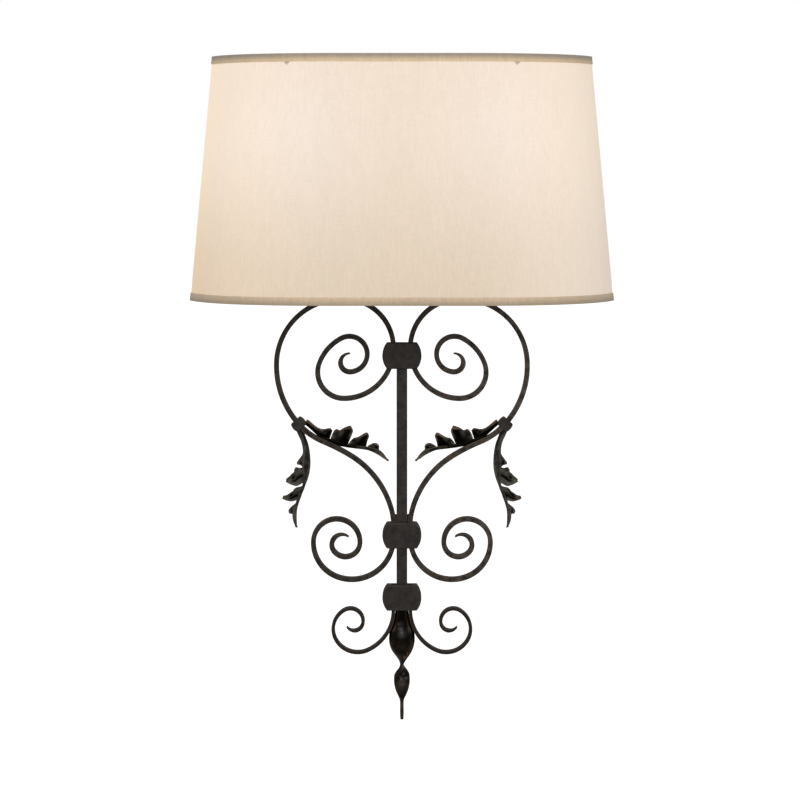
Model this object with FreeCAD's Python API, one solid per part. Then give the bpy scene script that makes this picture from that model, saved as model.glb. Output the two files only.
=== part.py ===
"""Wall sconce: forged scroll bracket, half shade and two lamps, built as separate parts.

Frame: the origin is the middle of the wall plate on the wall face, +X is to the right,
+Y points into the wall and +Z is up.  All lengths are in millimetres.
"""
import FreeCAD
import Part
import math
import os

V = FreeCAD.Vector
UP = V(0, 0, 1)
INTO_WALL = V(0, 1, 0)
ALONG = V(1, 0, 0)

# driving sizes
SHADE_WIDTH = 405.0
SHADE_TOP_WIDTH = 361.0
SHADE_DEPTH = 116.0
SHADE_TOP_DEPTH = 107.0
SHADE_TOP = 176.0
SHADE_BOTTOM = -55.5
WALL_GAP = 5.0
PAN_WIDTH = 229.0
PAN_HEIGHT = 111.0
PAN_DEPTH = 19.0
LAMP_REACH = 60.0
LAMP_SPREAD = 94.0
BULB_MIDDLE = 111.0
LOOP_SIZE = 62.5
SCROLL_SIZE = 39.7
CURL_SIZE = 46.6
TAIL_SIZE = 41.7

# bracket sizes
BAR_THICK = 4.7
BAR_DEPTH = 9.5
SPINE_WIDTH = 10.2
TAIL_THICK = 3.4
SIDE_LINE = 8.0
TAIL_LINE = 8.2
TIP_THICK = 1.2
UPPER_COLLAR = -107.0
MIDDLE_COLLAR = -278.3
LOWER_COLLAR = -337.9
COLLAR_HEIGHT = 24.8
COLLAR_END = 28.2
COLLAR_BELLY = 37.2
COLLAR_WALL = 2.6
COLLAR_CHAMFER = 0.9
LOOP_START = -99.6
CURL_START = -99.3
SCROLL_START = -281.2
RISE_END = -268.3
TAIL_START = -350.9
CLAMP_LENGTH = 9.6
CLAMP_END = 10.8
CLAMP_BELLY = 13.2
CLAMP_WALL = 1.9

# turns of the scrolls: radius as a share of the scroll's size, and degrees turned
LOOP_SHARES = ((0.739, 81.7), (1.0, 95.3), (1.338, 44.5))
CURL_SHARES = (
    (1.109, -21.9), (1.0, -68.4), (0.534, -110.2), (0.946, -41.6), (0.363, -205.6), (0.189, -94.0),
    (0.189, -92.0),
)
SCROLL_SHARES = ((1.0, -110.3), (0.882, -72.1), (0.559, -179.5), (0.348, -141.6), (0.249, -72.0),
                 (0.249, -94.0))
TAIL_SHARES = ((1.0, -65.0), (0.568, -82.0), (0.506, -92.7), (0.288, -135.9), (0.201, -62.0),
               (0.201, -70.0))
RISE_SHARES = ((0.888, 15.6), (1.403, 43.0))

# leaves: length, end of the stem, then tip and notch of each lobe, then points of the back
UPPER_LEAF_LENGTH = 87.0
LOWER_LEAF_LENGTH = 93.5
LEAF_DEPTH = 8.0
LEAF_LEAD = 3.2
LEAF_DROP = 1.9
UPPER_LEAF_HEADING = -23.3
LOWER_LEAF_HEADING = -93.2
RISE_BULGE_SHARE = 0.14
FALL_BULGE_SHARE = 0.04
STEM_SHARE = 0.06
UPPER_STEM_SHARES = (0.19, 0.040)
LOWER_STEM_SHARES = (0.24, -0.018)
UPPER_LOBE_SHARES = (
    (0.300, 0.068, 0.322, -0.018),
    (0.480, 0.178, 0.526, 0.018),
    (0.669, 0.178, 0.718, 0.050),
    (0.840, 0.106, 0.868, 0.062),
)
LOWER_LOBE_SHARES = (
    (0.360, 0.023, 0.385, -0.014),
    (0.532, 0.125, 0.568, -0.036),
    (0.700, 0.146, 0.736, 0.022),
    (0.846, 0.085, 0.880, 0.045),
)
UPPER_BACK_SHARES = ((0.187, -0.063), (0.426, -0.072), (0.618, -0.012), (0.750, 0.012), (0.880, 0.016))
LOWER_BACK_SHARES = (
    (0.160, -0.069), (0.300, -0.106), (0.440, -0.105), (0.600, -0.066), (0.720, -0.016), (0.900, 0.0),
)

# twisted drop: place down the drop, width, thickness and quarter turns of twist
DROP_LENGTH = 106.5
DROP_WIDTH = 25.0
DROP_SHARES = (
    (0.0, 0.40, 0.28, 0.0),
    (0.06, 0.52, 0.30, 0.0),
    (0.12, 0.68, 0.32, 0.0),
    (0.18, 0.89, 0.34, 0.0),
    (0.24, 1.0, 0.36, 0.0),
    (0.29, 1.0, 0.35, 0.0),
    (0.33, 0.95, 0.33, 0.03),
    (0.37, 0.83, 0.29, 0.12),
    (0.41, 0.70, 0.24, 0.35),
    (0.44, 0.60, 0.20, 0.55),
    (0.47, 0.52, 0.17, 0.76),
    (0.50, 0.49, 0.155, 1.0),
    (0.53, 0.51, 0.16, 1.24),
    (0.56, 0.55, 0.19, 1.52),
    (0.59, 0.60, 0.23, 1.78),
    (0.63, 0.61, 0.27, 1.95),
    (0.68, 0.60, 0.27, 2.0),
    (0.72, 0.53, 0.24, 2.0),
    (0.76, 0.41, 0.21, 2.0),
    (0.79, 0.28, 0.19, 2.0),
    (0.82, 0.18, 0.16, 2.0),
    (0.90, 0.155, 0.15, 2.0),
    (1.0, 0.14, 0.13, 2.0),
)
DROP_TAIL_RINGS = 3
DROP_PIN_RADIUS = 2.4
DROP_PIN_LENGTH = 11.0
SPINE_TUCK = 4.0

# shade sizes
PANEL_THICK = 1.2
TRIM_THICK = 0.8
TRIM_HEIGHT = 7.5
WIRE_RADIUS = 1.6
RING_INSET = 0.8
SIDE_LEAN = 12.0
SIDE_TURN = 29.5
SIDE_RADIUS_SHARE = 1.557
RING_LEAD = 0.9
RING_SIDE_GAP = 0.05
SPIDER_Z = 150.0
ARM_SPREAD = 106.0
BACK_ARM_SPREAD = 60.0
WASHER_RADIUS = 13.0
WASHER_THICK = 1.6

# lamp sizes
ARM_RADIUS = 5.0
ARM_BORE = 3.6
ARM_BEND = 16.0
ARM_FLANGE = 9.0
FLANGE_THICK = 2.0
ARM_HEIGHT = -12.0
POST_HEIGHT = 30.0
POST_BEND = 18.0
POST_RISE = 8.0
BULB_RADIUS = 30.0
BULB_LENGTH = 105.0
GLASS_THICK = 0.9
CAP_RADIUS = 13.0
CAP_HEIGHT = 23.0
CAP_CORE = 12.1
CAP_WALL = 0.5
CAP_NOSE = 4.4
THREAD_PITCH = 3.63
THREAD_TURNS = 4
THREAD_START_SHARE = 0.2
GLASS_TUCK = 3.0
SHELL_THICK = 0.6
SOCKET_RADIUS = 17.5
SOCKET_HEIGHT = 34.0
SOCKET_FLOOR = 4.0
CUP_RADIUS = 22.0
CUP_HEIGHT = 11.0
CUP_WALL = 1.4
TAB_RADIUS = 4.0
TAB_THICK = 0.8
TAB_LEG = 5.0

# outlines of the turned pieces as shares of their radius and height
CUP_OUTER_SHARES = ((0.45, 0.0), (0.85, 0.35), (1.0, 1.0))
CUP_INNER_SHARES = ((1.0, 1.0), (0.86, 0.45))
CUP_FLOOR_SHARE = 0.80
SOCKET_FOOT_SHARE = 0.70
TAB_STEM_SHARE = 0.5
SHELL_LIP_SHARE = 1.5
CAP_FOOT_SHARES = ((0.72, 0.13),)
CAP_NOSE_SHARE = 0.05
THREAD_SHARES = ((0.0, 0.2), (1.0, 0.5), (0.0, 0.8))
GLASS_SHARES = ((0.10, 0.30), (0.42, 0.66))
GLASS_JOIN_TURN = -32.0
FINIAL_SHARES = (
    (1.9, 0.0), (1.9, 0.5), (1.45, 0.7), (1.7, 1.1), (1.75, 1.7), (1.35, 2.3), (0.6, 2.7), (0.0, 2.8),
)
NUT_WIDTH_SHARE = 1.75
NUT_BALL_SHARE = 0.80
HEAD_ROUND_SHARE = 0.45
HEAD_SLOT_SHARE = 0.40
WELD_BEVEL_SHARE = 0.7

# wall plate sizes
PAN_WALL = 1.4
PAN_CORNER = 14.0
PAN_EDGE = 1.6
CROSSBAR_LENGTH = 146.0
CROSSBAR_HEIGHT = 22.0
CROSSBAR_THICK = 2.4
BOX_SCREW_SPACING = 88.9
BOX_SCREW_RADIUS = 2.1
BOX_SCREW_HEAD = 3.9
BOX_SCREW_LENGTH = 22.0
HEAD_HEIGHT = 2.3
SHANK_RADIUS = 2.5
SLOT_LENGTH = 11.0
STUD_SPACING = 126.0
STUD_RADIUS = 2.0
STUD_PROUD = 5.5
NUT_RADIUS = 4.6
NUT_BASE = 3.4
GROUND_RADIUS = 1.9
GROUND_LENGTH = 6.0
GROUND_PLACE = 18.0
STANDOFF_RADIUS = 6.0
BUMPER_RADIUS = 7.0
BUMPER_THICK = 3.0
WELD_LEG = 2.2
WELD_LEAD = 12.0

# clearances
RUN_GAP = 0.06
FIT_GAP = 0.3
CLEAR_GAP = 1.0
UPPER_SLOT_FLARE = 4.5
MIDDLE_SLOT_TOP = 0.9
MIDDLE_SLOT_FLARE = 2.1

# derived places
BAR_BACK = -PAN_DEPTH
BAR_FRONT = BAR_BACK - BAR_DEPTH
BAR_MIDDLE = BAR_BACK - BAR_DEPTH / 2
COLLAR_BACK = BAR_BACK + COLLAR_WALL
COLLAR_FRONT = BAR_FRONT - COLLAR_WALL
BULB_BASE = BULB_MIDDLE + BULB_RADIUS - BULB_LENGTH
SOCKET_BASE = BULB_BASE - TAB_THICK - TAB_LEG - SOCKET_FLOOR
CUP_BASE = SOCKET_BASE - CUP_WALL
RING_TOP = SHADE_TOP - RING_INSET - WIRE_RADIUS
RING_BOTTOM = SHADE_BOTTOM + RING_INSET + WIRE_RADIUS
RING_OFF = PANEL_THICK + WIRE_RADIUS + RING_SIDE_GAP
DROP_TOP = LOWER_COLLAR - COLLAR_HEIGHT / 2 + CLEAR_GAP


def moved(shape, x, y, z):
    """Copy of a shape shifted by the given steps."""
    out = shape.copy()
    out.translate(V(x, y, z))
    return out


def mirrored(shape):
    """Copy of a shape for the other side of the sconce."""
    return shape.mirror(V(0, 0, 0), ALONG)


def rod(radius, start, end):
    """Round bar between two points."""
    step = end - start
    return Part.makeCylinder(radius, step.Length, start, step)


def spin(points, x, y):
    """Solid turned about the upright axis at x, y from (radius, height) points."""
    flat = [V(x + r, y, z) for r, z in points]
    wire = Part.makePolygon(flat + [flat[0]])
    return Part.Face(wire).revolve(V(x, y, 0), UP, 360)


def rounded_box(width, height, depth, corner, edge, back):
    """Plate with its back at y = back, rounded corners and a rounded front edge."""
    box = Part.makeBox(width, depth, height, V(-width / 2, back - depth, -height / 2))
    upright = [e for e in box.Edges if abs(e.tangentAt(e.FirstParameter).y) > 0.9]
    box = box.makeFillet(corner, upright)
    front = [e for e in box.Edges if e.BoundBox.YMax < back - depth / 2]
    return box.makeFillet(edge, front)


class Trail:
    """Line of tangent arcs in the plane of the bracket, kept as centre, radius and angles."""

    def __init__(self, x, z, heading):
        self.x = x
        self.z = z
        self.heading = heading
        self.arcs = []

    def turn(self, radius, degrees):
        """Add one arc that starts along the present heading."""
        sign = 1 if degrees > 0 else -1
        h = math.radians(self.heading)
        cx = self.x - sign * radius * math.sin(h)
        cz = self.z + sign * radius * math.cos(h)
        self.arcs.append((cx, cz, radius, self.heading, degrees))
        self.heading += degrees
        h = math.radians(self.heading)
        self.x = cx + sign * radius * math.sin(h)
        self.z = cz - sign * radius * math.cos(h)
        return self

    def follow(self, size, shares):
        """Add a run of arcs whose radii are shares of one size."""
        for share, degrees in shares:
            self.turn(size * share, degrees)
        return self


def trail_point(arc, share, side):
    """Point at a share of an arc, set off to the left of the walk by side."""
    cx, cz, radius, heading, degrees = arc
    sign = 1 if degrees > 0 else -1
    h = math.radians(heading + degrees * share)
    reach = sign * radius - side
    return V(cx + reach * math.sin(h), BAR_BACK, cz - reach * math.cos(h))


def bar_from_trail(trail, thick, tips):
    """Flat bar along a trail: its outline is the trail set off to both sides."""
    half = thick / 2
    last = len(trail.arcs) - 1
    left = []
    right = []
    for index, arc in enumerate(trail.arcs):
        at_start = TIP_THICK / 2 if index == 0 and tips[0] else half
        at_end = TIP_THICK / 2 if index == last and tips[1] else half
        middle = (at_start + at_end) / 2
        for side, edges in ((1, left), (-1, right)):
            edges.append(Part.Arc(
                trail_point(arc, 0, side * at_start),
                trail_point(arc, 0.5, side * middle),
                trail_point(arc, 1, side * at_end),
            ).toShape())
    tip = TIP_THICK / 2 if tips[1] else half
    root = TIP_THICK / 2 if tips[0] else half
    ends = [
        Part.makeLine(trail_point(trail.arcs[last], 1, tip), trail_point(trail.arcs[last], 1, -tip)),
        Part.makeLine(trail_point(trail.arcs[0], 0, -root), trail_point(trail.arcs[0], 0, root)),
    ]
    wire = Part.Wire(Part.__sortEdges__(left + right + ends))
    return Part.Face(wire).extrude(V(0, -BAR_DEPTH, 0))


def close_run(trail, x, z, size, shares):
    """Finish a trail so that it reaches x, z straight down through the given last arcs.

    The shares tell the last arcs from the end upwards.  Before them come two arcs that
    join both runs without a kink.
    """
    end = Trail(x, z, 90).follow(size, shares)
    h = math.radians(trail.heading)
    back = math.radians(end.heading + 180)
    t1 = (math.cos(h), math.sin(h))
    t2 = (math.cos(back), math.sin(back))
    vx, vz = end.x - trail.x, end.z - trail.z
    dot = t1[0] * t2[0] + t1[1] * t2[1]
    vs = vx * (t1[0] + t2[0]) + vz * (t1[1] + t2[1])
    vv = vx * vx + vz * vz
    d = (-vs + math.sqrt(vs * vs + 2 * (1 - dot) * vv)) / (2 * (1 - dot))
    mx = (trail.x + end.x + d * (t1[0] - t2[0])) / 2
    mz = (trail.z + end.z + d * (t1[1] - t2[1])) / 2
    add_arc_to(trail, mx, mz)
    add_arc_to(trail, end.x, end.z)
    for cx, cz, radius, heading, degrees in reversed(end.arcs):
        trail.turn(radius, -degrees)
    return trail


def add_arc_to(trail, x, z):
    """Add the one arc that leaves along the heading and reaches x, z."""
    h = math.radians(trail.heading)
    dx, dz = x - trail.x, z - trail.z
    ahead = dx * math.cos(h) + dz * math.sin(h)
    aside = -dx * math.sin(h) + dz * math.cos(h)
    radius = (ahead * ahead + aside * aside) / (2 * abs(aside))
    degrees = 2 * math.degrees(math.atan2(aside, ahead))
    trail.turn(radius, degrees)


def loop_trail():
    """Side bar from the upper collar over the big loop to the clamp."""
    return Trail(-SIDE_LINE, LOOP_START, 90).follow(LOOP_SIZE, LOOP_SHARES)


def side_bar_left():
    """One bar: upper curl, big loop, long S and lower scroll in a single piece."""
    curl = Trail(-SIDE_LINE, CURL_START, -90).follow(CURL_SIZE, CURL_SHARES)
    upper = bar_from_trail(curl, BAR_THICK, (False, True))
    loop = close_run(loop_trail(), -SIDE_LINE, RISE_END, LOOP_SIZE, RISE_SHARES)
    main = bar_from_trail(loop, BAR_THICK, (False, False))
    scroll = Trail(-SIDE_LINE, SCROLL_START, -90).follow(SCROLL_SIZE, SCROLL_SHARES)
    lower = bar_from_trail(scroll, BAR_THICK, (False, True))
    link = Part.makeBox(
        BAR_THICK, BAR_DEPTH, RISE_END - SCROLL_START,
        V(-SIDE_LINE - BAR_THICK / 2, BAR_FRONT, SCROLL_START))
    tie = Part.makeBox(
        BAR_THICK, BAR_DEPTH, CURL_START - LOOP_START,
        V(-SIDE_LINE - BAR_THICK / 2, BAR_FRONT, LOOP_START))
    return upper.fuse([tie, main, link, lower]).removeSplitter()


def tail_scroll_left():
    """Small scroll under the lower collar."""
    trail = Trail(-TAIL_LINE, TAIL_START, -90).follow(TAIL_SIZE, TAIL_SHARES)
    curl = bar_from_trail(trail, TAIL_THICK, (False, True))
    top = LOWER_COLLAR + COLLAR_HEIGHT / 2 - SPINE_TUCK
    stem = Part.makeBox(
        TAIL_THICK, BAR_DEPTH, top - TAIL_START,
        V(-TAIL_LINE - TAIL_THICK / 2, BAR_FRONT, TAIL_START))
    return curl.fuse(stem).removeSplitter()


def spine_bar():
    """Upright bar through the three collars, bored at its foot for the drop's pin."""
    top = UPPER_COLLAR + COLLAR_HEIGHT / 2 - SPINE_TUCK
    foot = DROP_TOP
    bar = Part.makeBox(SPINE_WIDTH, BAR_DEPTH, top - foot, V(-SPINE_WIDTH / 2, BAR_FRONT, foot))
    bore = rod(DROP_PIN_RADIUS + RUN_GAP, V(0, BAR_MIDDLE, foot),
               V(0, BAR_MIDDLE, foot + DROP_PIN_LENGTH + FIT_GAP))
    return bar.cut(bore)


def belly_plate(length, end, belly, front, back):
    """Block with flat ends and bellied sides, seen from the front."""
    a = V(-end / 2, back, length / 2)
    b = V(end / 2, back, length / 2)
    c = V(end / 2, back, -length / 2)
    d = V(-end / 2, back, -length / 2)
    edges = [
        Part.makeLine(a, b),
        Part.Arc(b, V(belly / 2, back, 0), c).toShape(),
        Part.makeLine(c, d),
        Part.Arc(d, V(-belly / 2, back, 0), a).toShape(),
    ]
    return Part.Face(Part.Wire(edges)).extrude(V(0, front - back, 0))


def softened(solid, front, size):
    """Chamfer round the front face of a plate."""
    edges = [e for e in solid.Edges if e.BoundBox.YMax < front + size / 2]
    return solid.makeChamfer(size, edges)


def collar(level, half_top, half_foot):
    """Band round the bars: front and back plates hold the bars between them."""
    band = belly_plate(COLLAR_HEIGHT, COLLAR_END, COLLAR_BELLY, COLLAR_FRONT, COLLAR_BACK)
    band = softened(band, COLLAR_FRONT, COLLAR_CHAMFER)
    high = COLLAR_HEIGHT / 2 + CLEAR_GAP
    outline = Part.makePolygon([
        V(-half_top, BAR_BACK, high), V(half_top, BAR_BACK, high),
        V(half_foot, BAR_BACK, -high), V(-half_foot, BAR_BACK, -high),
        V(-half_top, BAR_BACK, high),
    ])
    slot = Part.Face(outline).extrude(V(0, -BAR_DEPTH, 0))
    return moved(band.cut(slot), 0, 0, level)


def clamp_frame():
    """Middle of the left clamp and the heading of the bar there."""
    trail = loop_trail()
    return V(trail.x, 0, trail.z), trail.heading


def clamp_left():
    """Small band round the side bar where the leaves spring from it."""
    point, heading = clamp_frame()
    front = BAR_FRONT - CLAMP_WALL
    back = BAR_BACK + CLAMP_WALL
    band = belly_plate(CLAMP_LENGTH, CLAMP_END, CLAMP_BELLY, front, back)
    band = softened(band, front, COLLAR_CHAMFER / 2)
    band.rotate(V(0, 0, 0), V(0, -1, 0), heading - 90)
    band.translate(V(point.x, 0, point.z))
    return band.cut(side_bar_left())


def leaf_left(length, heading, side, stem, lobes, back):
    """Lobed leaf casting that springs from the left clamp and seats against bar and clamp.

    Places on the leaf are shares of its length, along its heading and across it
    towards the side that carries the lobes.
    """
    base = clamp_frame()[0] + V(LEAF_LEAD, 0, -LEAF_DROP)
    h = math.radians(heading)
    ahead = V(math.cos(h), 0, math.sin(h)) * length
    out = V(-math.sin(h), 0, math.cos(h)) * (length * side)

    def place(along, across):
        return base + ahead * along + out * across

    def bulged(start, end, bulge):
        (a1, c1), (a2, c2) = start, end
        mid = place((a1 + a2) / 2 - (c2 - c1) * bulge, (c1 + c2) / 2 + (a2 - a1) * bulge)
        return Part.Arc(place(*start), mid, place(*end)).toShape()

    root = (0, STEM_SHARE)
    edges = [Part.makeLine(place(*root), place(*stem))]
    here = stem
    for tip_a, tip_c, notch_a, notch_c in lobes:
        edges.append(bulged(here, (tip_a, tip_c), RISE_BULGE_SHARE))
        edges.append(bulged((tip_a, tip_c), (notch_a, notch_c), FALL_BULGE_SHARE))
        here = (notch_a, notch_c)
    corners = [place(*here), place(1, 0)]
    corners += [place(along, across) for along, across in reversed(back)]
    corners += [place(0, -STEM_SHARE), place(*root)]
    edges += [Part.makeLine(a, b) for a, b in zip(corners, corners[1:])]
    body = Part.Face(Part.Wire(edges)).extrude(V(0, -LEAF_DEPTH, 0))
    body.translate(V(0, BAR_BACK - (BAR_DEPTH - LEAF_DEPTH) / 2, 0))
    body = body.cut([side_bar_left(), clamp_left()])
    return max(body.Solids, key=lambda solid: solid.Volume)


def upper_leaf_left():
    """Leaf that lies along the S of the side bar."""
    return leaf_left(UPPER_LEAF_LENGTH, UPPER_LEAF_HEADING, 1,
                     UPPER_STEM_SHARES, UPPER_LOBE_SHARES, UPPER_BACK_SHARES)


def lower_leaf_left():
    """Leaf that hangs from the clamp beside the lower scroll."""
    return leaf_left(LOWER_LEAF_LENGTH, LOWER_LEAF_HEADING, -1,
                     LOWER_STEM_SHARES, LOWER_LOBE_SHARES, LOWER_BACK_SHARES)


def loop_weld_left():
    """Weld bead that holds the top of the left loop on the pan."""
    cx, cz, radius, heading, degrees = loop_trail().arcs[1]
    inner = radius + BAR_THICK / 2
    outer = inner + WELD_LEG
    lead = math.radians(WELD_LEAD)
    points = []
    for reach, angles in ((inner, (-lead, 0, lead)), (outer, (lead, 0, -lead))):
        points.append([V(cx + reach * math.sin(a), BAR_BACK, cz + reach * math.cos(a)) for a in angles])
    wire = Part.Wire([
        Part.Arc(*points[0]).toShape(),
        Part.makeLine(points[0][2], points[1][0]),
        Part.Arc(*points[1]).toShape(),
        Part.makeLine(points[1][2], points[0][0]),
    ])
    bead = Part.Face(wire).extrude(V(0, -WELD_LEG, 0))
    upper = [e for e in bead.Edges if e.BoundBox.YMax < BAR_BACK - WELD_LEG / 2
             and abs(e.Length - outer * 2 * lead) < WELD_LEG / 4]
    return bead.makeChamfer(WELD_LEG * WELD_BEVEL_SHARE, upper).cut(side_bar_left())


def drop():
    """Twisted leaf drop under the lower collar, with a pin into the spine."""
    sections = []
    for down, wide, thick, quarters in DROP_SHARES:
        half = wide * DROP_WIDTH / 2
        deep = thick * DROP_WIDTH / 2
        z = -down * DROP_LENGTH
        a = V(-half, 0, z)
        b = V(half, 0, z)
        wire = Part.Wire([
            Part.Arc(a, V(0, -deep, z), b).toShape(),
            Part.Arc(b, V(0, deep, z), a).toShape(),
        ])
        wire.rotate(V(0, 0, z), UP, 90 * quarters)
        sections.append(wire)
    leaf = Part.makeLoft(sections[:1 - DROP_TAIL_RINGS], True, False, False, 3)
    tail = Part.makeLoft(sections[-DROP_TAIL_RINGS:], True, True)
    body = moved(leaf.fuse(tail), 0, BAR_MIDDLE, DROP_TOP)
    pin = rod(DROP_PIN_RADIUS, V(0, BAR_MIDDLE, DROP_TOP - CLEAR_GAP),
              V(0, BAR_MIDDLE, DROP_TOP + DROP_PIN_LENGTH))
    scroll = tail_scroll_left()
    return body.fuse(pin).cut([scroll, mirrored(scroll)])


def shade_size(z):
    """Half width and depth of the shade's outer face at a height."""
    share = (z - SHADE_BOTTOM) / (SHADE_TOP - SHADE_BOTTOM)
    half = SHADE_WIDTH / 2 + share * (SHADE_TOP_WIDTH - SHADE_WIDTH) / 2
    deep = SHADE_DEPTH + share * (SHADE_TOP_DEPTH - SHADE_DEPTH)
    return half - TRIM_THICK, deep - TRIM_THICK


def plan_edges(z, off, lead=0):
    """Edges of the shade's plan at a height, set outwards by off, from right to left.

    The lead, in degrees, keeps both ends that far away from the wall.
    """
    half, deep = shade_size(z)
    t0 = math.radians(SIDE_LEAN)
    t1 = math.radians(SIDE_TURN)
    r1 = SIDE_RADIUS_SHARE * deep
    c1 = (half - r1 * math.cos(t0), -r1 * math.sin(t0))
    q1 = r1 * (math.sin(t1) - math.sin(t0))
    r2 = (deep - q1) / (1 - math.sin(t1))
    c2 = (c1[0] + (r1 - r2) * math.cos(t1), c1[1] + (r1 - r2) * math.sin(t1))

    def at(centre, radius, angle):
        x = centre[0] + (radius + off) * math.cos(angle)
        q = centre[1] + (radius + off) * math.sin(angle)
        return V(x, -WALL_GAP - q, z)

    flat = math.pi / 2
    first = t0 + math.radians(lead)
    a = [at(c1, r1, first), at(c1, r1, (first + t1) / 2), at(c1, r1, t1)]
    b = [at(c2, r2, t1), at(c2, r2, (t1 + flat) / 2), at(c2, r2, flat)]
    flip = [V(-p.x, p.y, p.z) for p in a + b]
    return [
        Part.Arc(*a).toShape(),
        Part.Arc(*b).toShape(),
        Part.makeLine(b[2], flip[5]),
        Part.Arc(flip[5], flip[4], flip[3]).toShape(),
        Part.Arc(flip[2], flip[1], flip[0]).toShape(),
    ]


def plan_wire(z, inner, outer):
    """Closed outline of the shade's wall between two offsets."""
    out = plan_edges(z, outer)
    ins = plan_edges(z, inner)
    close_left = Part.makeLine(out[-1].Vertexes[-1].Point, ins[-1].Vertexes[-1].Point)
    close_right = Part.makeLine(ins[0].Vertexes[0].Point, out[0].Vertexes[0].Point)
    return Part.Wire(out + [close_left] + list(reversed(ins)) + [close_right])


def shade_wall(low, high, inner, outer):
    """Wall of the shade between two heights and two offsets."""
    return Part.makeLoft([plan_wire(low, inner, outer), plan_wire(high, inner, outer)], True, True)


def shade_panel():
    """Stiff fabric panel, open at the top, the foot and the wall side."""
    return shade_wall(SHADE_BOTTOM, SHADE_TOP, -PANEL_THICK, 0)


def trim_top():
    """Band round the upper edge, outside the panel."""
    return shade_wall(SHADE_TOP - TRIM_HEIGHT, SHADE_TOP, 0, TRIM_THICK)


def trim_bottom():
    """Band round the lower edge, outside the panel."""
    return shade_wall(SHADE_BOTTOM, SHADE_BOTTOM + TRIM_HEIGHT, 0, TRIM_THICK)


def ring_edges(z):
    """Line of a ring wire along the inside of the panel."""
    return plan_edges(z, -RING_OFF, RING_LEAD)


def ring_wire(z):
    """Ring wire along the inside of the panel at a height."""
    path = Part.Wire(ring_edges(z))
    first = path.Edges[0]
    start = first.Vertexes[0].Point
    circle = Part.Wire([Part.makeCircle(WIRE_RADIUS, start, first.tangentAt(first.FirstParameter))])
    return path.makePipeShell([circle], True, True)


def ring_ends(z):
    """Right and left ends of the ring's line."""
    edges = ring_edges(z)
    return edges[0].Vertexes[0].Point, edges[-1].Vertexes[-1].Point


def ring_top():
    """Upper ring, closed along the wall by a straight bar."""
    right, left = ring_ends(RING_TOP)
    bar = rod(WIRE_RADIUS, left, right)
    balls = [Part.makeSphere(WIRE_RADIUS, p) for p in (left, right)]
    return ring_wire(RING_TOP).fuse([bar] + balls)


def ring_bottom():
    """Lower ring, open along the wall so that the shade lifts off over the lamps."""
    return ring_wire(RING_BOTTOM)


def uprights():
    """Two stays between the rings, close to the wall."""
    out = []
    top = ring_ends(RING_TOP)
    foot = ring_ends(RING_BOTTOM)
    for a, b in zip(top, foot):
        out.append(rod(WIRE_RADIUS, b, a).cut([ring_top(), ring_bottom()]))
    return Part.makeCompound([s for o in out for s in o.Solids])


def spider():
    """Washer on the post with two arms to the front of the ring and two to its back bar."""
    post = V(0, -LAMP_REACH, SPIDER_Z)
    level = SPIDER_Z + WASHER_THICK / 2
    pieces = [Part.makeCylinder(WASHER_RADIUS, WASHER_THICK, post)]
    half, deep = shade_size(RING_TOP)
    front = -WALL_GAP - ring_depth_at(ARM_SPREAD)
    back = ring_ends(RING_TOP)[0].y
    for x, y in ((ARM_SPREAD, front), (-ARM_SPREAD, front), (BACK_ARM_SPREAD, back), (-BACK_ARM_SPREAD, back)):
        corner = V(x, y, level)
        away = V(x, y + LAMP_REACH, 0)
        away.normalize()
        pieces.append(rod(WIRE_RADIUS, V(0, -LAMP_REACH, level) + away * (WASHER_RADIUS - WIRE_RADIUS), corner))
        pieces.append(Part.makeSphere(WIRE_RADIUS, corner))
        pieces.append(rod(WIRE_RADIUS, corner, V(x, y, RING_TOP)))
    body = pieces[0].fuse(pieces[1:])
    hole = rod(ARM_RADIUS + RUN_GAP, V(0, -LAMP_REACH, SPIDER_Z - WASHER_RADIUS),
               V(0, -LAMP_REACH, SPIDER_Z + WASHER_RADIUS))
    return body.cut([hole, ring_top()])


def ring_depth_at(x):
    """Distance of the upper ring's line from the shade's back edge at a side step."""
    half, deep = shade_size(RING_TOP)
    t0 = math.radians(SIDE_LEAN)
    t1 = math.radians(SIDE_TURN)
    r1 = SIDE_RADIUS_SHARE * deep
    q1 = r1 * (math.sin(t1) - math.sin(t0))
    r2 = (deep - q1) / (1 - math.sin(t1))
    cx = half - r1 * math.cos(t0) + (r1 - r2) * math.cos(t1)
    radius = r2 - RING_OFF
    return deep - r2 + math.sqrt(radius * radius - (x - cx) ** 2)


def bent_tube(x, z, bend, top, bore):
    """Tube that leaves the pan at x, z towards the room and turns up to a height."""
    a = V(x, -PAN_DEPTH, z)
    b = V(x, -LAMP_REACH + bend, z)
    c = V(x, -LAMP_REACH, z + bend)
    s = bend * math.sqrt(0.5)
    m = V(x, -LAMP_REACH + bend - s, z + bend - s)
    path = Part.Wire([
        Part.makeLine(a, b),
        Part.Arc(b, m, c).toShape(),
        Part.makeLine(c, V(x, -LAMP_REACH, top)),
    ])

    def pipe(radius):
        ring = Part.Wire([Part.makeCircle(radius, a, INTO_WALL)])
        return path.makePipeShell([ring], True, True)

    outer = pipe(ARM_RADIUS)
    return outer.cut(pipe(bore)) if bore else outer


def lamp_arm(x):
    """Tube with a flange on the pan, carrying one lamp."""
    tube = bent_tube(x, ARM_HEIGHT, ARM_BEND, CUP_BASE, ARM_BORE)
    flange = rod(ARM_FLANGE, V(x, -PAN_DEPTH, ARM_HEIGHT), V(x, -PAN_DEPTH - FLANGE_THICK, ARM_HEIGHT))
    bore = rod(ARM_BORE, V(x, -PAN_DEPTH + FLANGE_THICK, ARM_HEIGHT),
               V(x, -PAN_DEPTH - 2 * FLANGE_THICK, ARM_HEIGHT))
    return tube.fuse(flange).cut(bore)


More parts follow.
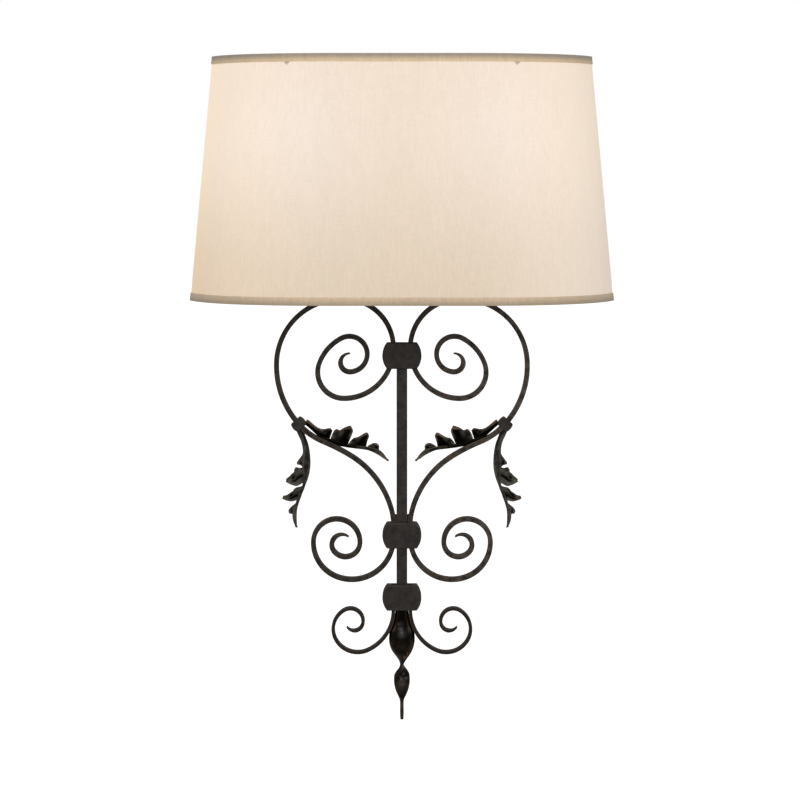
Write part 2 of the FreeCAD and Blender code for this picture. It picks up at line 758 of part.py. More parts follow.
def lamp_cup(x):
    """Small drip cup under the socket."""
    inner = CUP_RADIUS - CUP_WALL
    z = CUP_BASE
    points = [(ARM_BORE, z)]
    points += [(CUP_RADIUS * r, z + CUP_HEIGHT * h) for r, h in CUP_OUTER_SHARES]
    points += [(inner * r, z + CUP_HEIGHT * h) for r, h in CUP_INNER_SHARES]
    points += [(inner * CUP_FLOOR_SHARE, z + CUP_WALL), (ARM_BORE, z + CUP_WALL)]
    return spin(points, x, -LAMP_REACH)


def socket_body(x):
    """Insulating socket: a floor and a wall round the screw shell."""
    bore = CAP_RADIUS + RUN_GAP + SHELL_THICK
    z = SOCKET_BASE
    low = CUP_RADIUS * SOCKET_FOOT_SHARE
    return spin([
        (0, z), (low, z), (low, z + SOCKET_FLOOR), (SOCKET_RADIUS, z + CUP_HEIGHT + CLEAR_GAP),
        (SOCKET_RADIUS, z + SOCKET_HEIGHT), (bore, z + SOCKET_HEIGHT), (bore, z + SOCKET_FLOOR),
        (0, z + SOCKET_FLOOR),
    ], x, -LAMP_REACH)


def screw_shell(x):
    """Metal shell that takes the bulb's cap."""
    inner = CAP_RADIUS + RUN_GAP
    outer = inner + SHELL_THICK
    z = SOCKET_BASE + SOCKET_FLOOR
    top = SOCKET_BASE + SOCKET_HEIGHT - CLEAR_GAP
    lip = TAB_RADIUS * SHELL_LIP_SHARE
    return spin([
        (lip, z), (outer, z), (outer, top), (inner, top), (inner, z + SHELL_THICK), (lip, z + SHELL_THICK),
    ], x, -LAMP_REACH)


def contact_tab(x):
    """Springy centre contact that follows the bulb's nose."""
    z = BULB_BASE
    foot = SOCKET_BASE + SOCKET_FLOOR
    stem = TAB_RADIUS * TAB_STEM_SHARE
    return spin([
        (0, foot), (stem, foot), (stem, z - TAB_THICK), (TAB_RADIUS, z - TAB_THICK), (TAB_RADIUS, z), (0, z),
    ], x, -LAMP_REACH)


def bulb_cap(x):
    """Screw cap of the bulb with its nose."""
    z = BULB_BASE
    start = z + CAP_HEIGHT * THREAD_START_SHARE
    points = [(0, z), (CAP_NOSE, z), (CAP_NOSE, z + CAP_HEIGHT * CAP_NOSE_SHARE)]
    points += [(CAP_CORE * r, z + CAP_HEIGHT * h) for r, h in CAP_FOOT_SHARES]
    points.append((CAP_CORE, start))
    for turn in range(THREAD_TURNS):
        low = start + turn * THREAD_PITCH
        points += [(CAP_CORE + (CAP_RADIUS - CAP_CORE) * r, low + THREAD_PITCH * h) for r, h in THREAD_SHARES]
    points.append((CAP_CORE, z + CAP_HEIGHT - CLEAR_GAP))
    points.append((CAP_RADIUS, z + CAP_HEIGHT))
    points.append((CAP_RADIUS - CAP_WALL, z + CAP_HEIGHT))
    points.append((CAP_CORE - CAP_WALL, z + CAP_HEIGHT - CLEAR_GAP))
    points.append((CAP_CORE - CAP_WALL, start + CAP_WALL))
    points.append((0, start - CAP_WALL))
    return spin(points, x, -LAMP_REACH)


def glass_profile(inset):
    """Outline of the bulb's glass in radius and height, set inwards by inset."""
    neck = CAP_CORE - CAP_WALL - RUN_GAP - inset
    big = BULB_RADIUS - inset
    low = BULB_BASE + CAP_HEIGHT - GLASS_TUCK
    lip = BULB_BASE + CAP_HEIGHT + CLEAR_GAP
    join = math.radians(GLASS_JOIN_TURN)
    jr = big * math.cos(join)
    jz = BULB_MIDDLE + big * math.sin(join)
    points = [(neck, low), (neck, lip)]
    points += [(neck + (jr - neck) * r, lip + (jz - lip) * h) for r, h in GLASS_SHARES]
    return points + [(jr, jz)], big


def bulb_glass(x):
    """Hollow glass envelope of the bulb."""
    solids = []
    join = math.radians(GLASS_JOIN_TURN)
    tangent = V(-math.sin(join), 0, math.cos(join))
    for inset in (0, GLASS_THICK):
        side, big = glass_profile(inset)
        floor = side[0][1]
        pts = [V(x + r, -LAMP_REACH, z) for r, z in side]
        curve = Part.BSplineCurve()
        curve.interpolate(pts[1:], InitialTangent=UP, FinalTangent=tangent)
        ball = Part.Arc(pts[-1], V(x + big, -LAMP_REACH, BULB_MIDDLE), V(x, -LAMP_REACH, BULB_MIDDLE + big))
        axis_low = V(x, -LAMP_REACH, floor)
        wire = Part.Wire([
            Part.makeLine(axis_low, pts[0]),
            Part.makeLine(pts[0], pts[1]),
            curve.toShape(),
            ball.toShape(),
            Part.makeLine(V(x, -LAMP_REACH, BULB_MIDDLE + big), axis_low),
        ])
        solids.append(Part.Face(wire).revolve(V(x, -LAMP_REACH, 0), UP, 360))
    return solids[0].cut(solids[1])


def pan():
    """Hollow plate against the wall that carries the bracket, the lamps and the post."""
    outer = rounded_box(PAN_WIDTH, PAN_HEIGHT, PAN_DEPTH, PAN_CORNER, PAN_EDGE, 0)
    inner = rounded_box(PAN_WIDTH - 2 * PAN_WALL, PAN_HEIGHT - 2 * PAN_WALL, PAN_DEPTH - PAN_WALL,
                        PAN_CORNER - PAN_WALL, PAN_EDGE - PAN_WALL, 0)
    holes = []
    for side in (-1, 1):
        holes.append(rod(ARM_BORE, V(side * LAMP_SPREAD, 0, ARM_HEIGHT),
                         V(side * LAMP_SPREAD, -2 * PAN_DEPTH, ARM_HEIGHT)))
        holes.append(rod(STUD_RADIUS + RUN_GAP, V(side * STUD_SPACING / 2, 0, 0),
                         V(side * STUD_SPACING / 2, -2 * PAN_DEPTH, 0)))
    return outer.cut([inner] + holes)


def crossbar():
    """Slotted bar that is screwed to the wall box."""
    bar = Part.makeBox(CROSSBAR_LENGTH, CROSSBAR_THICK, CROSSBAR_HEIGHT,
                       V(-CROSSBAR_LENGTH / 2, -CROSSBAR_THICK, -CROSSBAR_HEIGHT / 2))
    cuts = []
    r = SHANK_RADIUS + FIT_GAP
    for side in (-1, 1):
        x = side * BOX_SCREW_SPACING / 2
        for end in (-1, 1):
            cx = x + end * (SLOT_LENGTH / 2 - r)
            cuts.append(rod(r, V(cx, 0, 0), V(cx, -CROSSBAR_THICK, 0)))
        cuts.append(Part.makeBox(SLOT_LENGTH - 2 * r, CROSSBAR_THICK, 2 * r,
                                 V(x - SLOT_LENGTH / 2 + r, -CROSSBAR_THICK, -r)))
        cuts.append(rod(STUD_RADIUS, V(side * STUD_SPACING / 2, 0, 0),
                        V(side * STUD_SPACING / 2, -CROSSBAR_THICK, 0)))
    cuts.append(rod(GROUND_RADIUS, V(GROUND_PLACE, 0, 0), V(GROUND_PLACE, -CROSSBAR_THICK, 0)))
    return bar.cut(cuts)


def headed_screw(x, z, shank, radius, head, length):
    """Pan-head screw whose head sits on the crossbar and whose thread starts behind it."""
    stem = rod(shank, V(x, -CROSSBAR_THICK, z), V(x, 0, z))
    thread = rod(radius, V(x, 0, z), V(x, length - CROSSBAR_THICK, z))
    cap = rod(head, V(x, -CROSSBAR_THICK - HEAD_HEIGHT, z), V(x, -CROSSBAR_THICK, z))
    rim = [e for e in cap.Edges if e.BoundBox.YMax < -CROSSBAR_THICK - HEAD_HEIGHT / 2]
    cap = cap.makeFillet(HEAD_HEIGHT * HEAD_ROUND_SHARE, rim)
    wide = HEAD_HEIGHT * HEAD_SLOT_SHARE
    slot = Part.makeBox(2 * head, HEAD_HEIGHT / 2, wide,
                        V(x - head, -CROSSBAR_THICK - HEAD_HEIGHT, z - wide / 2))
    return stem.fuse([thread, cap.cut(slot)]).removeSplitter()


def box_screws():
    """Two screws into the wall box."""
    return Part.makeCompound([
        headed_screw(side * BOX_SCREW_SPACING / 2, 0, SHANK_RADIUS, BOX_SCREW_RADIUS, BOX_SCREW_HEAD,
                     BOX_SCREW_LENGTH)
        for side in (-1, 1)
    ])


def ground_screw():
    """Screw for the earth wire on the crossbar."""
    return headed_screw(GROUND_PLACE, 0, GROUND_RADIUS, GROUND_RADIUS, BOX_SCREW_HEAD, GROUND_LENGTH)


def studs():
    """Two threaded studs from the crossbar through the pan."""
    return Part.makeCompound([
        rod(STUD_RADIUS, V(side * STUD_SPACING / 2, 0, 0),
            V(side * STUD_SPACING / 2, -PAN_DEPTH - STUD_PROUD, 0))
        for side in (-1, 1)
    ])


def cap_nuts():
    """Two domed nuts that draw the pan to the wall."""
    out = []
    for side in (-1, 1):
        x = side * STUD_SPACING / 2
        corner = [V(x + NUT_RADIUS * math.cos(math.radians(60 * k)), -PAN_DEPTH,
                    NUT_RADIUS * math.sin(math.radians(60 * k))) for k in range(7)]
        base = Part.Face(Part.makePolygon(corner)).extrude(V(0, -NUT_BASE, 0))
        r = NUT_RADIUS * NUT_BALL_SHARE
        ball = Part.makeSphere(r, V(x, -PAN_DEPTH - NUT_BASE, 0))
        bore = rod(STUD_RADIUS, V(x, -PAN_DEPTH, 0), V(x, -PAN_DEPTH - STUD_PROUD, 0))
        out.append(base.fuse(ball.cut(Part.makeBox(4 * r, NUT_BASE, 4 * r, V(
            x - 2 * r, -PAN_DEPTH, -2 * r)))).cut(bore))
    return Part.makeCompound([s for o in out for s in o.Solids])


def post():
    """Solid rod from the pan, turned up to carry the shade."""
    return bent_tube(0, POST_HEIGHT, POST_BEND, SPIDER_Z + WASHER_THICK + POST_RISE, 0)


def post_nut():
    """Nut under the spider's washer."""
    z = SPIDER_Z - NUT_BASE
    r = ARM_RADIUS * NUT_WIDTH_SHARE
    corner = [V(r * math.cos(math.radians(60 * k)), -LAMP_REACH + r * math.sin(math.radians(60 * k)), z)
              for k in range(7)]
    base = Part.Face(Part.makePolygon(corner)).extrude(V(0, 0, NUT_BASE))
    return base.cut(rod(ARM_RADIUS, V(0, -LAMP_REACH, z), V(0, -LAMP_REACH, z + NUT_BASE)))


def finial_nut():
    """Turned nut that holds the shade down on the post."""
    z = SPIDER_Z + WASHER_THICK
    inner = ARM_RADIUS + RUN_GAP
    top = z + POST_RISE + FIT_GAP
    points = [(inner, z)]
    points += [(ARM_RADIUS * r, z + ARM_RADIUS * h) for r, h in FINIAL_SHARES]
    return spin(points + [(0, top), (inner, top)], 0, -LAMP_REACH)


def standoff():
    """Stub from the back of the lower collar towards the wall."""
    return rod(STANDOFF_RADIUS, V(0, COLLAR_BACK, LOWER_COLLAR), V(0, -BUMPER_THICK, LOWER_COLLAR))


def bumper():
    """Soft pad between the stub and the wall."""
    return rod(BUMPER_RADIUS, V(0, -BUMPER_THICK, LOWER_COLLAR), V(0, 0, LOWER_COLLAR))


def pair(name, left):
    """Left piece and its mirror image under two names."""
    return {name + "_left": left, name + "_right": mirrored(left)}


def lamp_pair(name, make):
    """One lamp piece on each side."""
    return {name + "_left": make(-LAMP_SPREAD), name + "_right": make(LAMP_SPREAD)}


def all_parts():
    """Every sub-part of the sconce under its own name."""
    slot = SIDE_LINE + BAR_THICK / 2
    tail_slot = TAIL_LINE + TAIL_THICK / 2
    parts = {
        "wall_pan": pan(),
        "crossbar": crossbar(),
        "box_screws": box_screws(),
        "ground_screw": ground_screw(),
        "pan_studs": studs(),
        "pan_cap_nuts": cap_nuts(),
        "spine_bar": spine_bar(),
        "collar_upper": collar(UPPER_COLLAR, slot + FIT_GAP, slot + UPPER_SLOT_FLARE),
        "collar_middle": collar(MIDDLE_COLLAR, slot + MIDDLE_SLOT_TOP, slot + MIDDLE_SLOT_FLARE),
        "collar_lower": collar(LOWER_COLLAR, tail_slot, tail_slot),
        "drop_finial": drop(),
        "lower_standoff": standoff(),
        "wall_bumper": bumper(),
        "shade_panel": shade_panel(),
        "shade_trim_top": trim_top(),
        "shade_trim_bottom": trim_bottom(),
        "shade_ring_top": ring_top(),
        "shade_ring_bottom": ring_bottom(),
        "shade_uprights": uprights(),
        "shade_spider": spider(),
        "shade_post": post(),
        "post_nut": post_nut(),
        "shade_finial_nut": finial_nut(),
    }
    parts.update(pair("side_bar", side_bar_left()))
    parts.update(pair("tail_scroll", tail_scroll_left()))
    parts.update(pair("leaf_clamp", clamp_left()))
    parts.update(pair("loop_weld", loop_weld_left()))
    parts.update(pair("upper_leaf", upper_leaf_left()))
    parts.update(pair("lower_leaf", lower_leaf_left()))
    parts.update(lamp_pair("lamp_arm", lamp_arm))
    parts.update(lamp_pair("lamp_cup", lamp_cup))
    parts.update(lamp_pair("socket_body", socket_body))
    parts.update(lamp_pair("screw_shell", screw_shell))
    parts.update(lamp_pair("contact_tab", contact_tab))
    parts.update(lamp_pair("bulb_cap", bulb_cap))
    parts.update(lamp_pair("bulb_glass", bulb_glass))
    return parts


os.makedirs("parts", exist_ok=True)
for node, shape in all_parts().items():
    shape.exportStep(os.path.join("parts", node + ".step"))
    box = shape.BoundBox
    print(node, shape.isValid(), len(shape.Solids), round(shape.Volume, 1),
          [round(v, 1) for v in (box.XMin, box.XMax, box.YMin, box.YMax, box.ZMin, box.ZMax)])
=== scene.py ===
"""Looks of a scrolled iron wall sconce with a lit half shade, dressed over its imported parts."""

import logging
import math
from collections.abc import Callable, Sequence
from dataclasses import dataclass, replace
from enum import Enum

import bmesh
import bpy
from mathutils import Matrix, Vector


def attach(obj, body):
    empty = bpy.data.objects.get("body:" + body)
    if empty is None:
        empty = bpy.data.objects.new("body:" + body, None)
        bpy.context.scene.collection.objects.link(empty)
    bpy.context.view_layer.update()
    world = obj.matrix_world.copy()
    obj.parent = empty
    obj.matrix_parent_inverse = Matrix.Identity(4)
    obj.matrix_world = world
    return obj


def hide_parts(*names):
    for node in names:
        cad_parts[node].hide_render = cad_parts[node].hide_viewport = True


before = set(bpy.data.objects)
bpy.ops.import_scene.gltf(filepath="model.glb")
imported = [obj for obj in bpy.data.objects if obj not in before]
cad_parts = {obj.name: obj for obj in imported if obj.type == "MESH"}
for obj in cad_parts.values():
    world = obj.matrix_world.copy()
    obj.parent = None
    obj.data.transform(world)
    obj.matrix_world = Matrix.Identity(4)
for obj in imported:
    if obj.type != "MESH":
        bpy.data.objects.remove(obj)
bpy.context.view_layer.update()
LOG = logging.getLogger("sconce")
MM = 0.001
IMAGE_SIZE = 800
ORIGIN = (0.0, 0.0, 0.0)
VALUE = "NodeSocketFloat"
LAMP_ASIDE = 0.092
LAMP_HEIGHT = 0.104
POOL_ACROSS = 0.0030
POOL_UP = 0.0060
ARM_ASIDE = 0.106

Colour = tuple[float, float, float, float]
Share = tuple[float, float]


def tone(red: float, green: float, blue: float) -> Colour:
    """Colour with full alpha from three linear values."""
    return (red, green, blue, 1.0)


class Side(Enum):
    """Left or right half of the sconce, with the sign of its x."""

    LEFT = -1
    RIGHT = 1

    @property
    def word(self) -> str:
        """Lower-case name used in node names."""
        return self.name.lower()


class Bench:
    """Adds shader nodes to one tree and joins them.

    Args:
        tree: The node tree of a material, world or group.
    """

    def __init__(self, tree: bpy.types.NodeTree) -> None:
        """Start with an empty tree."""
        self.tree = tree
        tree.nodes.clear()

    def feed(self, socket: bpy.types.NodeSocket, value: object) -> None:
        """Link a socket, or set it to a constant.

        Args:
            socket: The input to fill.
            value: Another node's output, or a number or colour.
        """
        if isinstance(value, bpy.types.NodeSocket):
            self.tree.links.new(value, socket)
        else:
            socket.default_value = value

    def add(self, kind: str, inputs: dict | None = None, **settings: object) -> bpy.types.Node:
        """Add one node.

        Args:
            kind: Node type without its ShaderNode prefix.
            inputs: Values or links for its inputs, by name or number.
            settings: Properties of the node.

        Returns:
            The new node.
        """
        item = self.tree.nodes.new("ShaderNode" + kind)
        for key, value in settings.items():
            setattr(item, key, value)
        for key, value in (inputs or {}).items():
            self.feed(item.inputs[key], value)
        return item

    def sum(self, operation: str, a: object, b: object = 0.0) -> bpy.types.NodeSocket:
        """Output of a Math node on one or two values."""
        return self.add("Math", {0: a, 1: b}, operation=operation).outputs[0]

    def plus(self, a: object, b: object) -> bpy.types.NodeSocket:
        """Two values added."""
        return self.sum("ADD", a, b)

    def minus(self, a: object, b: object) -> bpy.types.NodeSocket:
        """First value less the second."""
        return self.sum("SUBTRACT", a, b)

    def times(self, a: object, b: object) -> bpy.types.NodeSocket:
        """Two values multiplied."""
        return self.sum("MULTIPLY", a, b)

    def over(self, a: object, b: object) -> bpy.types.NodeSocket:
        """First value divided by the second."""
        return self.sum("DIVIDE", a, b)

    def tinted(self, colour: object, by: object) -> bpy.types.NodeSocket:
        """Colour times a value or another colour."""
        return self.add("VectorMath", {0: colour, 1: by}, operation="MULTIPLY").outputs[0]

    def split(self, vector: object) -> Sequence[bpy.types.NodeSocket]:
        """The x, y and z of a vector."""
        return self.add("SeparateXYZ", {0: vector}).outputs[:3]

    def span(self, value: object, low: float, high: float, to_low: float = 0.0,
             to_high: float = 1.0) -> bpy.types.NodeSocket:
        """Smooth step of a value between two limits.

        Args:
            value: What is mapped.
            low: Start of the step.
            high: End of the step.
            to_low: Result at and below the start.
            to_high: Result at and above the end.

        Returns:
            The mapped value.
        """
        item = self.add("MapRange", {"Value": value, "From Min": low, "From Max": high,
                                     "To Min": to_low, "To Max": to_high},
                        interpolation_type="SMOOTHSTEP")
        return item.outputs["Result"]

    def blend(self, factor: object, a: object, b: object) -> bpy.types.NodeSocket:
        """Mix of two colours."""
        item = self.add("Mix", {0: factor, 6: a, 7: b}, data_type="RGBA")
        return item.outputs[2]

    def noise(self, vector: object, scale: float, detail: float = 3.0,
              rough: float = 0.5) -> bpy.types.NodeSocket:
        """Value of a Noise Texture."""
        return self.add("TexNoise", {"Vector": vector, "Scale": scale, "Detail": detail,
                                     "Roughness": rough}).outputs[0]

    def stretch(self, vector: object, scale: Sequence[float]) -> bpy.types.NodeSocket:
        """Vector scaled along its three axes."""
        return self.add("Mapping", {"Vector": vector, "Scale": scale}).outputs[0]

    def pile(self, *terms: tuple[object, Sequence[float]]) -> bpy.types.NodeSocket:
        """Sum of colours, each times a value.

        Args:
            terms: Pairs of a value and the red, green and blue that it scales.

        Returns:
            The summed colour.
        """
        total: object = (0.0, 0.0, 0.0)
        for value, colour in terms:
            total = self.add("VectorMath", {0: value, 1: tuple(colour), 2: total},
                             operation="MULTIPLY_ADD").outputs[0]
        return total

    def seen(self) -> bpy.types.NodeSocket:
        """1 for what the camera sees, also through the lamp glass, and 0 for the rest."""
        path = self.add("LightPath")
        return self.sum("MAXIMUM", path.outputs["Is Camera Ray"], path.outputs["Is Transmission Ray"])

    def place(self) -> bpy.types.NodeSocket:
        """Object coordinates, in metres."""
        return self.add("TexCoord").outputs["Object"]


def shader_group(name: str, inputs: dict[str, object], outputs: dict[str, str],
                 fill: Callable[[Bench, dict], dict]) -> bpy.types.NodeTree:
    """Make a shader node group once.

    Args:
        name: Name of the group.
        inputs: Input names with their starting values.
        outputs: Output names with their socket types.
        fill: Function that builds the inside and returns a value for each output.

    Returns:
        The group.
    """
    if name in bpy.data.node_groups:
        return bpy.data.node_groups[name]
    tree = bpy.data.node_groups.new(name, "ShaderNodeTree")
    for key, value in inputs.items():
        kind = VALUE if isinstance(value, float) else "NodeSocketVector"
        item = tree.interface.new_socket(name=key, in_out="INPUT", socket_type=kind)
        item.default_value = value
    for key, kind in outputs.items():
        tree.interface.new_socket(name=key, in_out="OUTPUT", socket_type=kind)
    bench = Bench(tree)
    start = bench.tree.nodes.new("NodeGroupInput")
    end = bench.tree.nodes.new("NodeGroupOutput")
    for key, value in fill(bench, {s.name: s for s in start.outputs if s.name}).items():
        bench.feed(end.inputs[key], value)
    return tree


def use_group(bench: Bench, tree: bpy.types.NodeTree, **inputs: object) -> bpy.types.Node:
    """Place a group in a material with its own values.

    Args:
        bench: Tools for the material's tree.
        tree: The group.
        inputs: Values or links for its inputs, with underscores for spaces.

    Returns:
        The group's node.
    """
    item = bench.tree.nodes.new("ShaderNodeGroup")
    item.node_tree = tree
    for key, value in inputs.items():
        bench.feed(item.inputs[key.replace("_", " ")], value)
    return item


def hammer_group() -> bpy.types.NodeTree:
    """Group for hand-worked iron: dents, sandy grain and mottling.

    Returns:
        The group.
    """
    def fill(b: Bench, i: dict) -> dict:
        """Build the inside.

        Args:
            b: Tools for the group's tree.
            i: The group's inputs by name.

        Returns:
            The group's outputs by name.
        """
        where = b.add("Mapping", {"Vector": i["Vector"]}).outputs[0]
        warp = b.add("TexNoise", {"Vector": where, "Scale": 60.0, "Detail": 2.0}).outputs[1]
        bent = b.add("Mix", {0: 0.0035, 4: where, 5: warp}, data_type="VECTOR").outputs[1]
        dents = b.add("TexVoronoi", {"Vector": bent, "Scale": i["Dent scale"]},
                      feature="SMOOTH_F1").outputs[0]
        dish = b.span(dents, 0.0, 0.75)
        grain = b.noise(where, 2600.0, 4.0, 0.65)
        pits = b.span(b.noise(where, 900.0, 3.0, 0.6), 0.30, 0.52)
        height = b.plus(b.times(dish, i["Dent depth"]),
                        b.plus(b.times(grain, 0.10), b.times(pits, 0.08)))
        mottle = b.times(b.noise(where, 140.0, 4.0, 0.6), b.span(grain, 0.2, 0.8, 0.75, 1.2))
        return {"Height": height, "Mottle": mottle, "Grain": grain}

    return shader_group("hammered iron", {"Vector": ORIGIN, "Dent scale": 150.0, "Dent depth": 0.2},
                        {"Height": VALUE, "Mottle": VALUE, "Grain": VALUE}, fill)


def rub_group() -> bpy.types.NodeTree:
    """Group for edges where handling has rubbed the dark coat brown, and for the painted highlights that
    the leaves and the drop carry in the same mark.

    Returns:
        The group.
    """
    def fill(b: Bench, i: dict) -> dict:
        """Build the inside.

        Args:
            b: Tools for the group's tree.
            i: The group's inputs by name.

        Returns:
            The group's outputs by name.
        """
        edge = b.add("Attribute", attribute_name="rub").outputs["Fac"]
        broad = b.noise(i["Vector"], 75.0, 3.0, 0.6)
        fine = b.noise(i["Vector"], 620.0, 3.0, 0.7)
        both = b.plus(b.times(broad, 0.6), b.times(fine, 0.4))
        patch = b.span(both, 0.36, 0.60)
        mask = b.times(b.times(edge, b.span(patch, 0.0, 1.0, 0.3, 1.0)), i["Amount"])
        return {"Mask": mask}

    return shader_group("rubbed edges", {"Vector": ORIGIN, "Amount": 1.0}, {"Mask": VALUE}, fill)


def weave_group() -> bpy.types.NodeTree:
    """Group for slubbed cloth: upright thick and thin threads over a fine cross weave.

    Returns:
        The group.
    """
    def fill(b: Bench, i: dict) -> dict:
        """Build the inside.

        Args:
            b: Tools for the group's tree.
            i: The group's inputs by name.

        Returns:
            The group's outputs by name.
        """
        where = i["Vector"]
        slub = b.noise(b.stretch(where, (1.0, 1.0, 0.15)), 620.0, 3.0, 0.62)
        broad = b.noise(b.stretch(where, (1.0, 1.0, 0.25)), 110.0, 2.0, 0.5)
        weft = b.noise(b.stretch(where, (0.25, 0.25, 1.0)), 800.0, 2.0, 0.5)
        warp = b.add("TexWave", {"Vector": where, "Scale": 330.0, "Distortion": 0.6, "Detail": 1.0},
                     wave_type="BANDS", bands_direction="X").outputs[1]
        pick = b.add("TexWave", {"Vector": where, "Scale": 330.0, "Distortion": 0.5, "Detail": 1.0},
                     wave_type="BANDS", bands_direction="Z").outputs[1]
        thread = b.times(b.plus(warp, pick), 0.5)
        value = b.plus(b.times(slub, 0.50),
                       b.plus(b.times(broad, 0.20), b.times(weft, 0.30)))
        tint = b.plus(b.times(b.minus(value, 0.5), i["Contrast"]), 0.5)
        height = b.plus(b.times(value, 0.7), b.times(thread, 0.3))
        return {"Tint": tint, "Height": height}

    return shader_group("slubbed weave", {"Vector": ORIGIN, "Contrast": 1.0},
                        {"Tint": VALUE, "Height": VALUE}, fill)


def glow_group() -> bpy.types.NodeTree:
    """Group for the light of the two lamps through the cloth, from where they stand behind it.

    Returns:
        The group.
    """
    def fill(b: Bench, i: dict) -> dict:
        """Build the inside.

        Args:
            b: Tools for the group's tree.
            i: The group's inputs by name.

        Returns:
            The group's outputs by name.
        """
        x, y, z = b.split(i["Vector"])
        wide = b.sum("ABSOLUTE", x)
        aside = b.minus(wide, LAMP_ASIDE)
        raised = b.minus(z, LAMP_HEIGHT)
        spread = b.plus(b.over(b.times(aside, aside), POOL_ACROSS),
                        b.over(b.times(raised, raised), POOL_UP))
        pool = b.over(1.0, b.plus(1.0, spread))
        high = b.span(z, -0.065, 0.120)
        low = b.minus(1.0, high)
        left = b.span(x, -0.200, -0.060, 1.0, 0.0)
        right = b.span(x, 0.060, 0.200)
        # Painted warm light at the cloth's left edge, by the wall, where the lamps' light comes through at
        # a slant.
        edge = b.times(b.span(y, -0.060, -0.008), b.span(x, -0.01, 0.01, 1.0, 0.0))
        light = b.pile(
            (low, (0.084, 0.063, 0.036)), (high, (0.215, 0.182, 0.160)), (pool, (0.036, 0.048, 0.080)),
            (b.times(left, high), (0.224, 0.190, 0.148)),
            (b.times(left, low), (0.165, 0.119, 0.077)),
            (b.times(right, high), (0.184, 0.153, 0.118)),
            (b.times(right, low), (0.184, 0.172, 0.178)), (edge, (0.078, 0.045, 0.003)))
        # Painted shadow: each front arm of the frame shows as a small dark wedge under the upper band.
        arm = b.sum("ABSOLUTE", b.minus(wide, ARM_ASIDE))
        wedge = b.span(z, 0.1610, 0.1690, -0.0040, 0.0028)
        mark = b.span(b.minus(wedge, arm), -0.0010, 0.0008)
        front = b.span(y, -0.075, -0.070, 1.0, 0.0)
        return {"Light": light, "Edge": edge, "Shadow": b.times(mark, front)}

    return shader_group("lamp light", {"Vector": ORIGIN},
                        {"Light": "NodeSocketColor", "Edge": VALUE, "Shadow": VALUE}, fill)


@dataclass(frozen=True)
class Finish:
    """Base of all finishes.

    Attributes:
        name: Name of the material.
        slot: Material slot of the record that it belongs to.
    """

    name: str
    slot: str

    def material(self) -> bpy.types.Material:
        """Find the material, or make it on first use.

        Returns:
            The material.
        """
        found = bpy.data.materials.get(self.name)
        if found:
            return found
        made = bpy.data.materials.new(self.name)
        made.use_nodes = True
        bench = Bench(made.node_tree)
        shader = bench.add("BsdfPrincipled")
        bench.add("OutputMaterial", {0: shader.outputs[0]})
        self.fill(bench, shader)
        return made

    def fill(self, bench: Bench, shader: bpy.types.Node) -> None:
        """Set the shader up.

        Args:
            bench: Tools for the material's tree.
            shader: The Principled BSDF.
        """
        raise NotImplementedError

    def fix(self, shader: bpy.types.Node, values: dict[str, float]) -> None:
        """Set constants of the shader, by input name."""
        for key, value in values.items():
            shader.inputs[key].default_value = value

    def bump(self, bench: Bench, shader: bpy.types.Node, height: object, strength: float,
             distance: float) -> None:
        """Feed a height to the shader's normal.

        Args:
            bench: Tools for the material's tree.
            shader: The Principled BSDF.
            height: Height value.
            strength: Share of the bump that is used.
            distance: Real depth of the relief in metres.
        """
        item = bench.add("Bump", {"Height": height, "Strength": strength, "Distance": distance})
        bench.feed(shader.inputs["Normal"], item.outputs[0])


@dataclass(frozen=True)
class Iron(Finish):
    """Dark coated iron, mottled and grainy, brown where its edges are rubbed, with painted shade in marked
    hollows.

    Attributes:
        base: Tone of the coat.
        dark: Tone of its darker mottles and of the painted shade in hollows.
        rubbed: Tone where it is rubbed, also the tone of the painted highlights on the leaves and the drop.
        roughness: Middle roughness of the coat.
        dent_scale: How close the hammer dents are.
        dent_depth: Share of the relief that the dents have.
        rub_amount: How strongly the rubbed tone shows.
        relief: Depth of the dents and the grain in metres.
        gloss: Specular level.
        warmed: Lighter, warmer tone on the right, where it differs: painted light from that side.
    """

    slot: str = "iron"
    base: Colour = tone(0.0290, 0.0200, 0.0125)
    dark: Colour = tone(0.0070, 0.0050, 0.0034)
    rubbed: Colour = tone(0.0800, 0.0540, 0.0350)
    roughness: float = 0.52
    dent_scale: float = 150.0
    dent_depth: float = 0.22
    rub_amount: float = 0.75
    relief: float = 0.00035
    gloss: float = 0.20
    warmed: Colour | None = None

    def fill(self, bench: Bench, shader: bpy.types.Node) -> None:
        """Mottle, dents and rubbed edges, painted shade in hollows, and painted light on the right where
        the finish has it.

        Args:
            bench: Tools for the material's tree.
            shader: The Principled BSDF.
        """
        where = bench.place()
        hammer = use_group(bench, hammer_group(), Vector=where, Dent_scale=self.dent_scale,
                           Dent_depth=self.dent_depth)
        rub = use_group(bench, rub_group(), Vector=where, Amount=self.rub_amount)
        base: object = self.base
        # Painted light: the coat turns lighter and warmer towards the right.
        if self.warmed:
            base = bench.blend(bench.span(bench.split(where)[0], -0.02, 0.09), base, self.warmed)
        tint = bench.blend(bench.span(hammer.outputs["Mottle"], 0.30, 0.66), self.dark, base)
        # Painted shade: the hollow mark darkens the coat and, through Metallic, takes its reflection away.
        hollow = bench.add("Attribute", attribute_name="hollow").outputs["Fac"]
        tint = bench.blend(bench.times(hollow, 0.85), tint, self.dark)
        tint = bench.blend(rub.outputs["Mask"], tint, self.rubbed)
        bench.feed(shader.inputs["Base Color"], tint)
        rough = bench.plus(bench.times(hammer.outputs["Grain"], 0.22), self.roughness - 0.11)
        rough = bench.minus(rough, bench.times(rub.outputs["Mask"], 0.10))
        bench.feed(shader.inputs["Roughness"], rough)
        bench.feed(shader.inputs["Metallic"], bench.span(hollow, 0.25, 1.0, 0.1, 1.0))
        self.fix(shader, {"Specular IOR Level": self.gloss})
        self.bump(bench, shader, hammer.outputs["Height"], 0.75, self.relief)


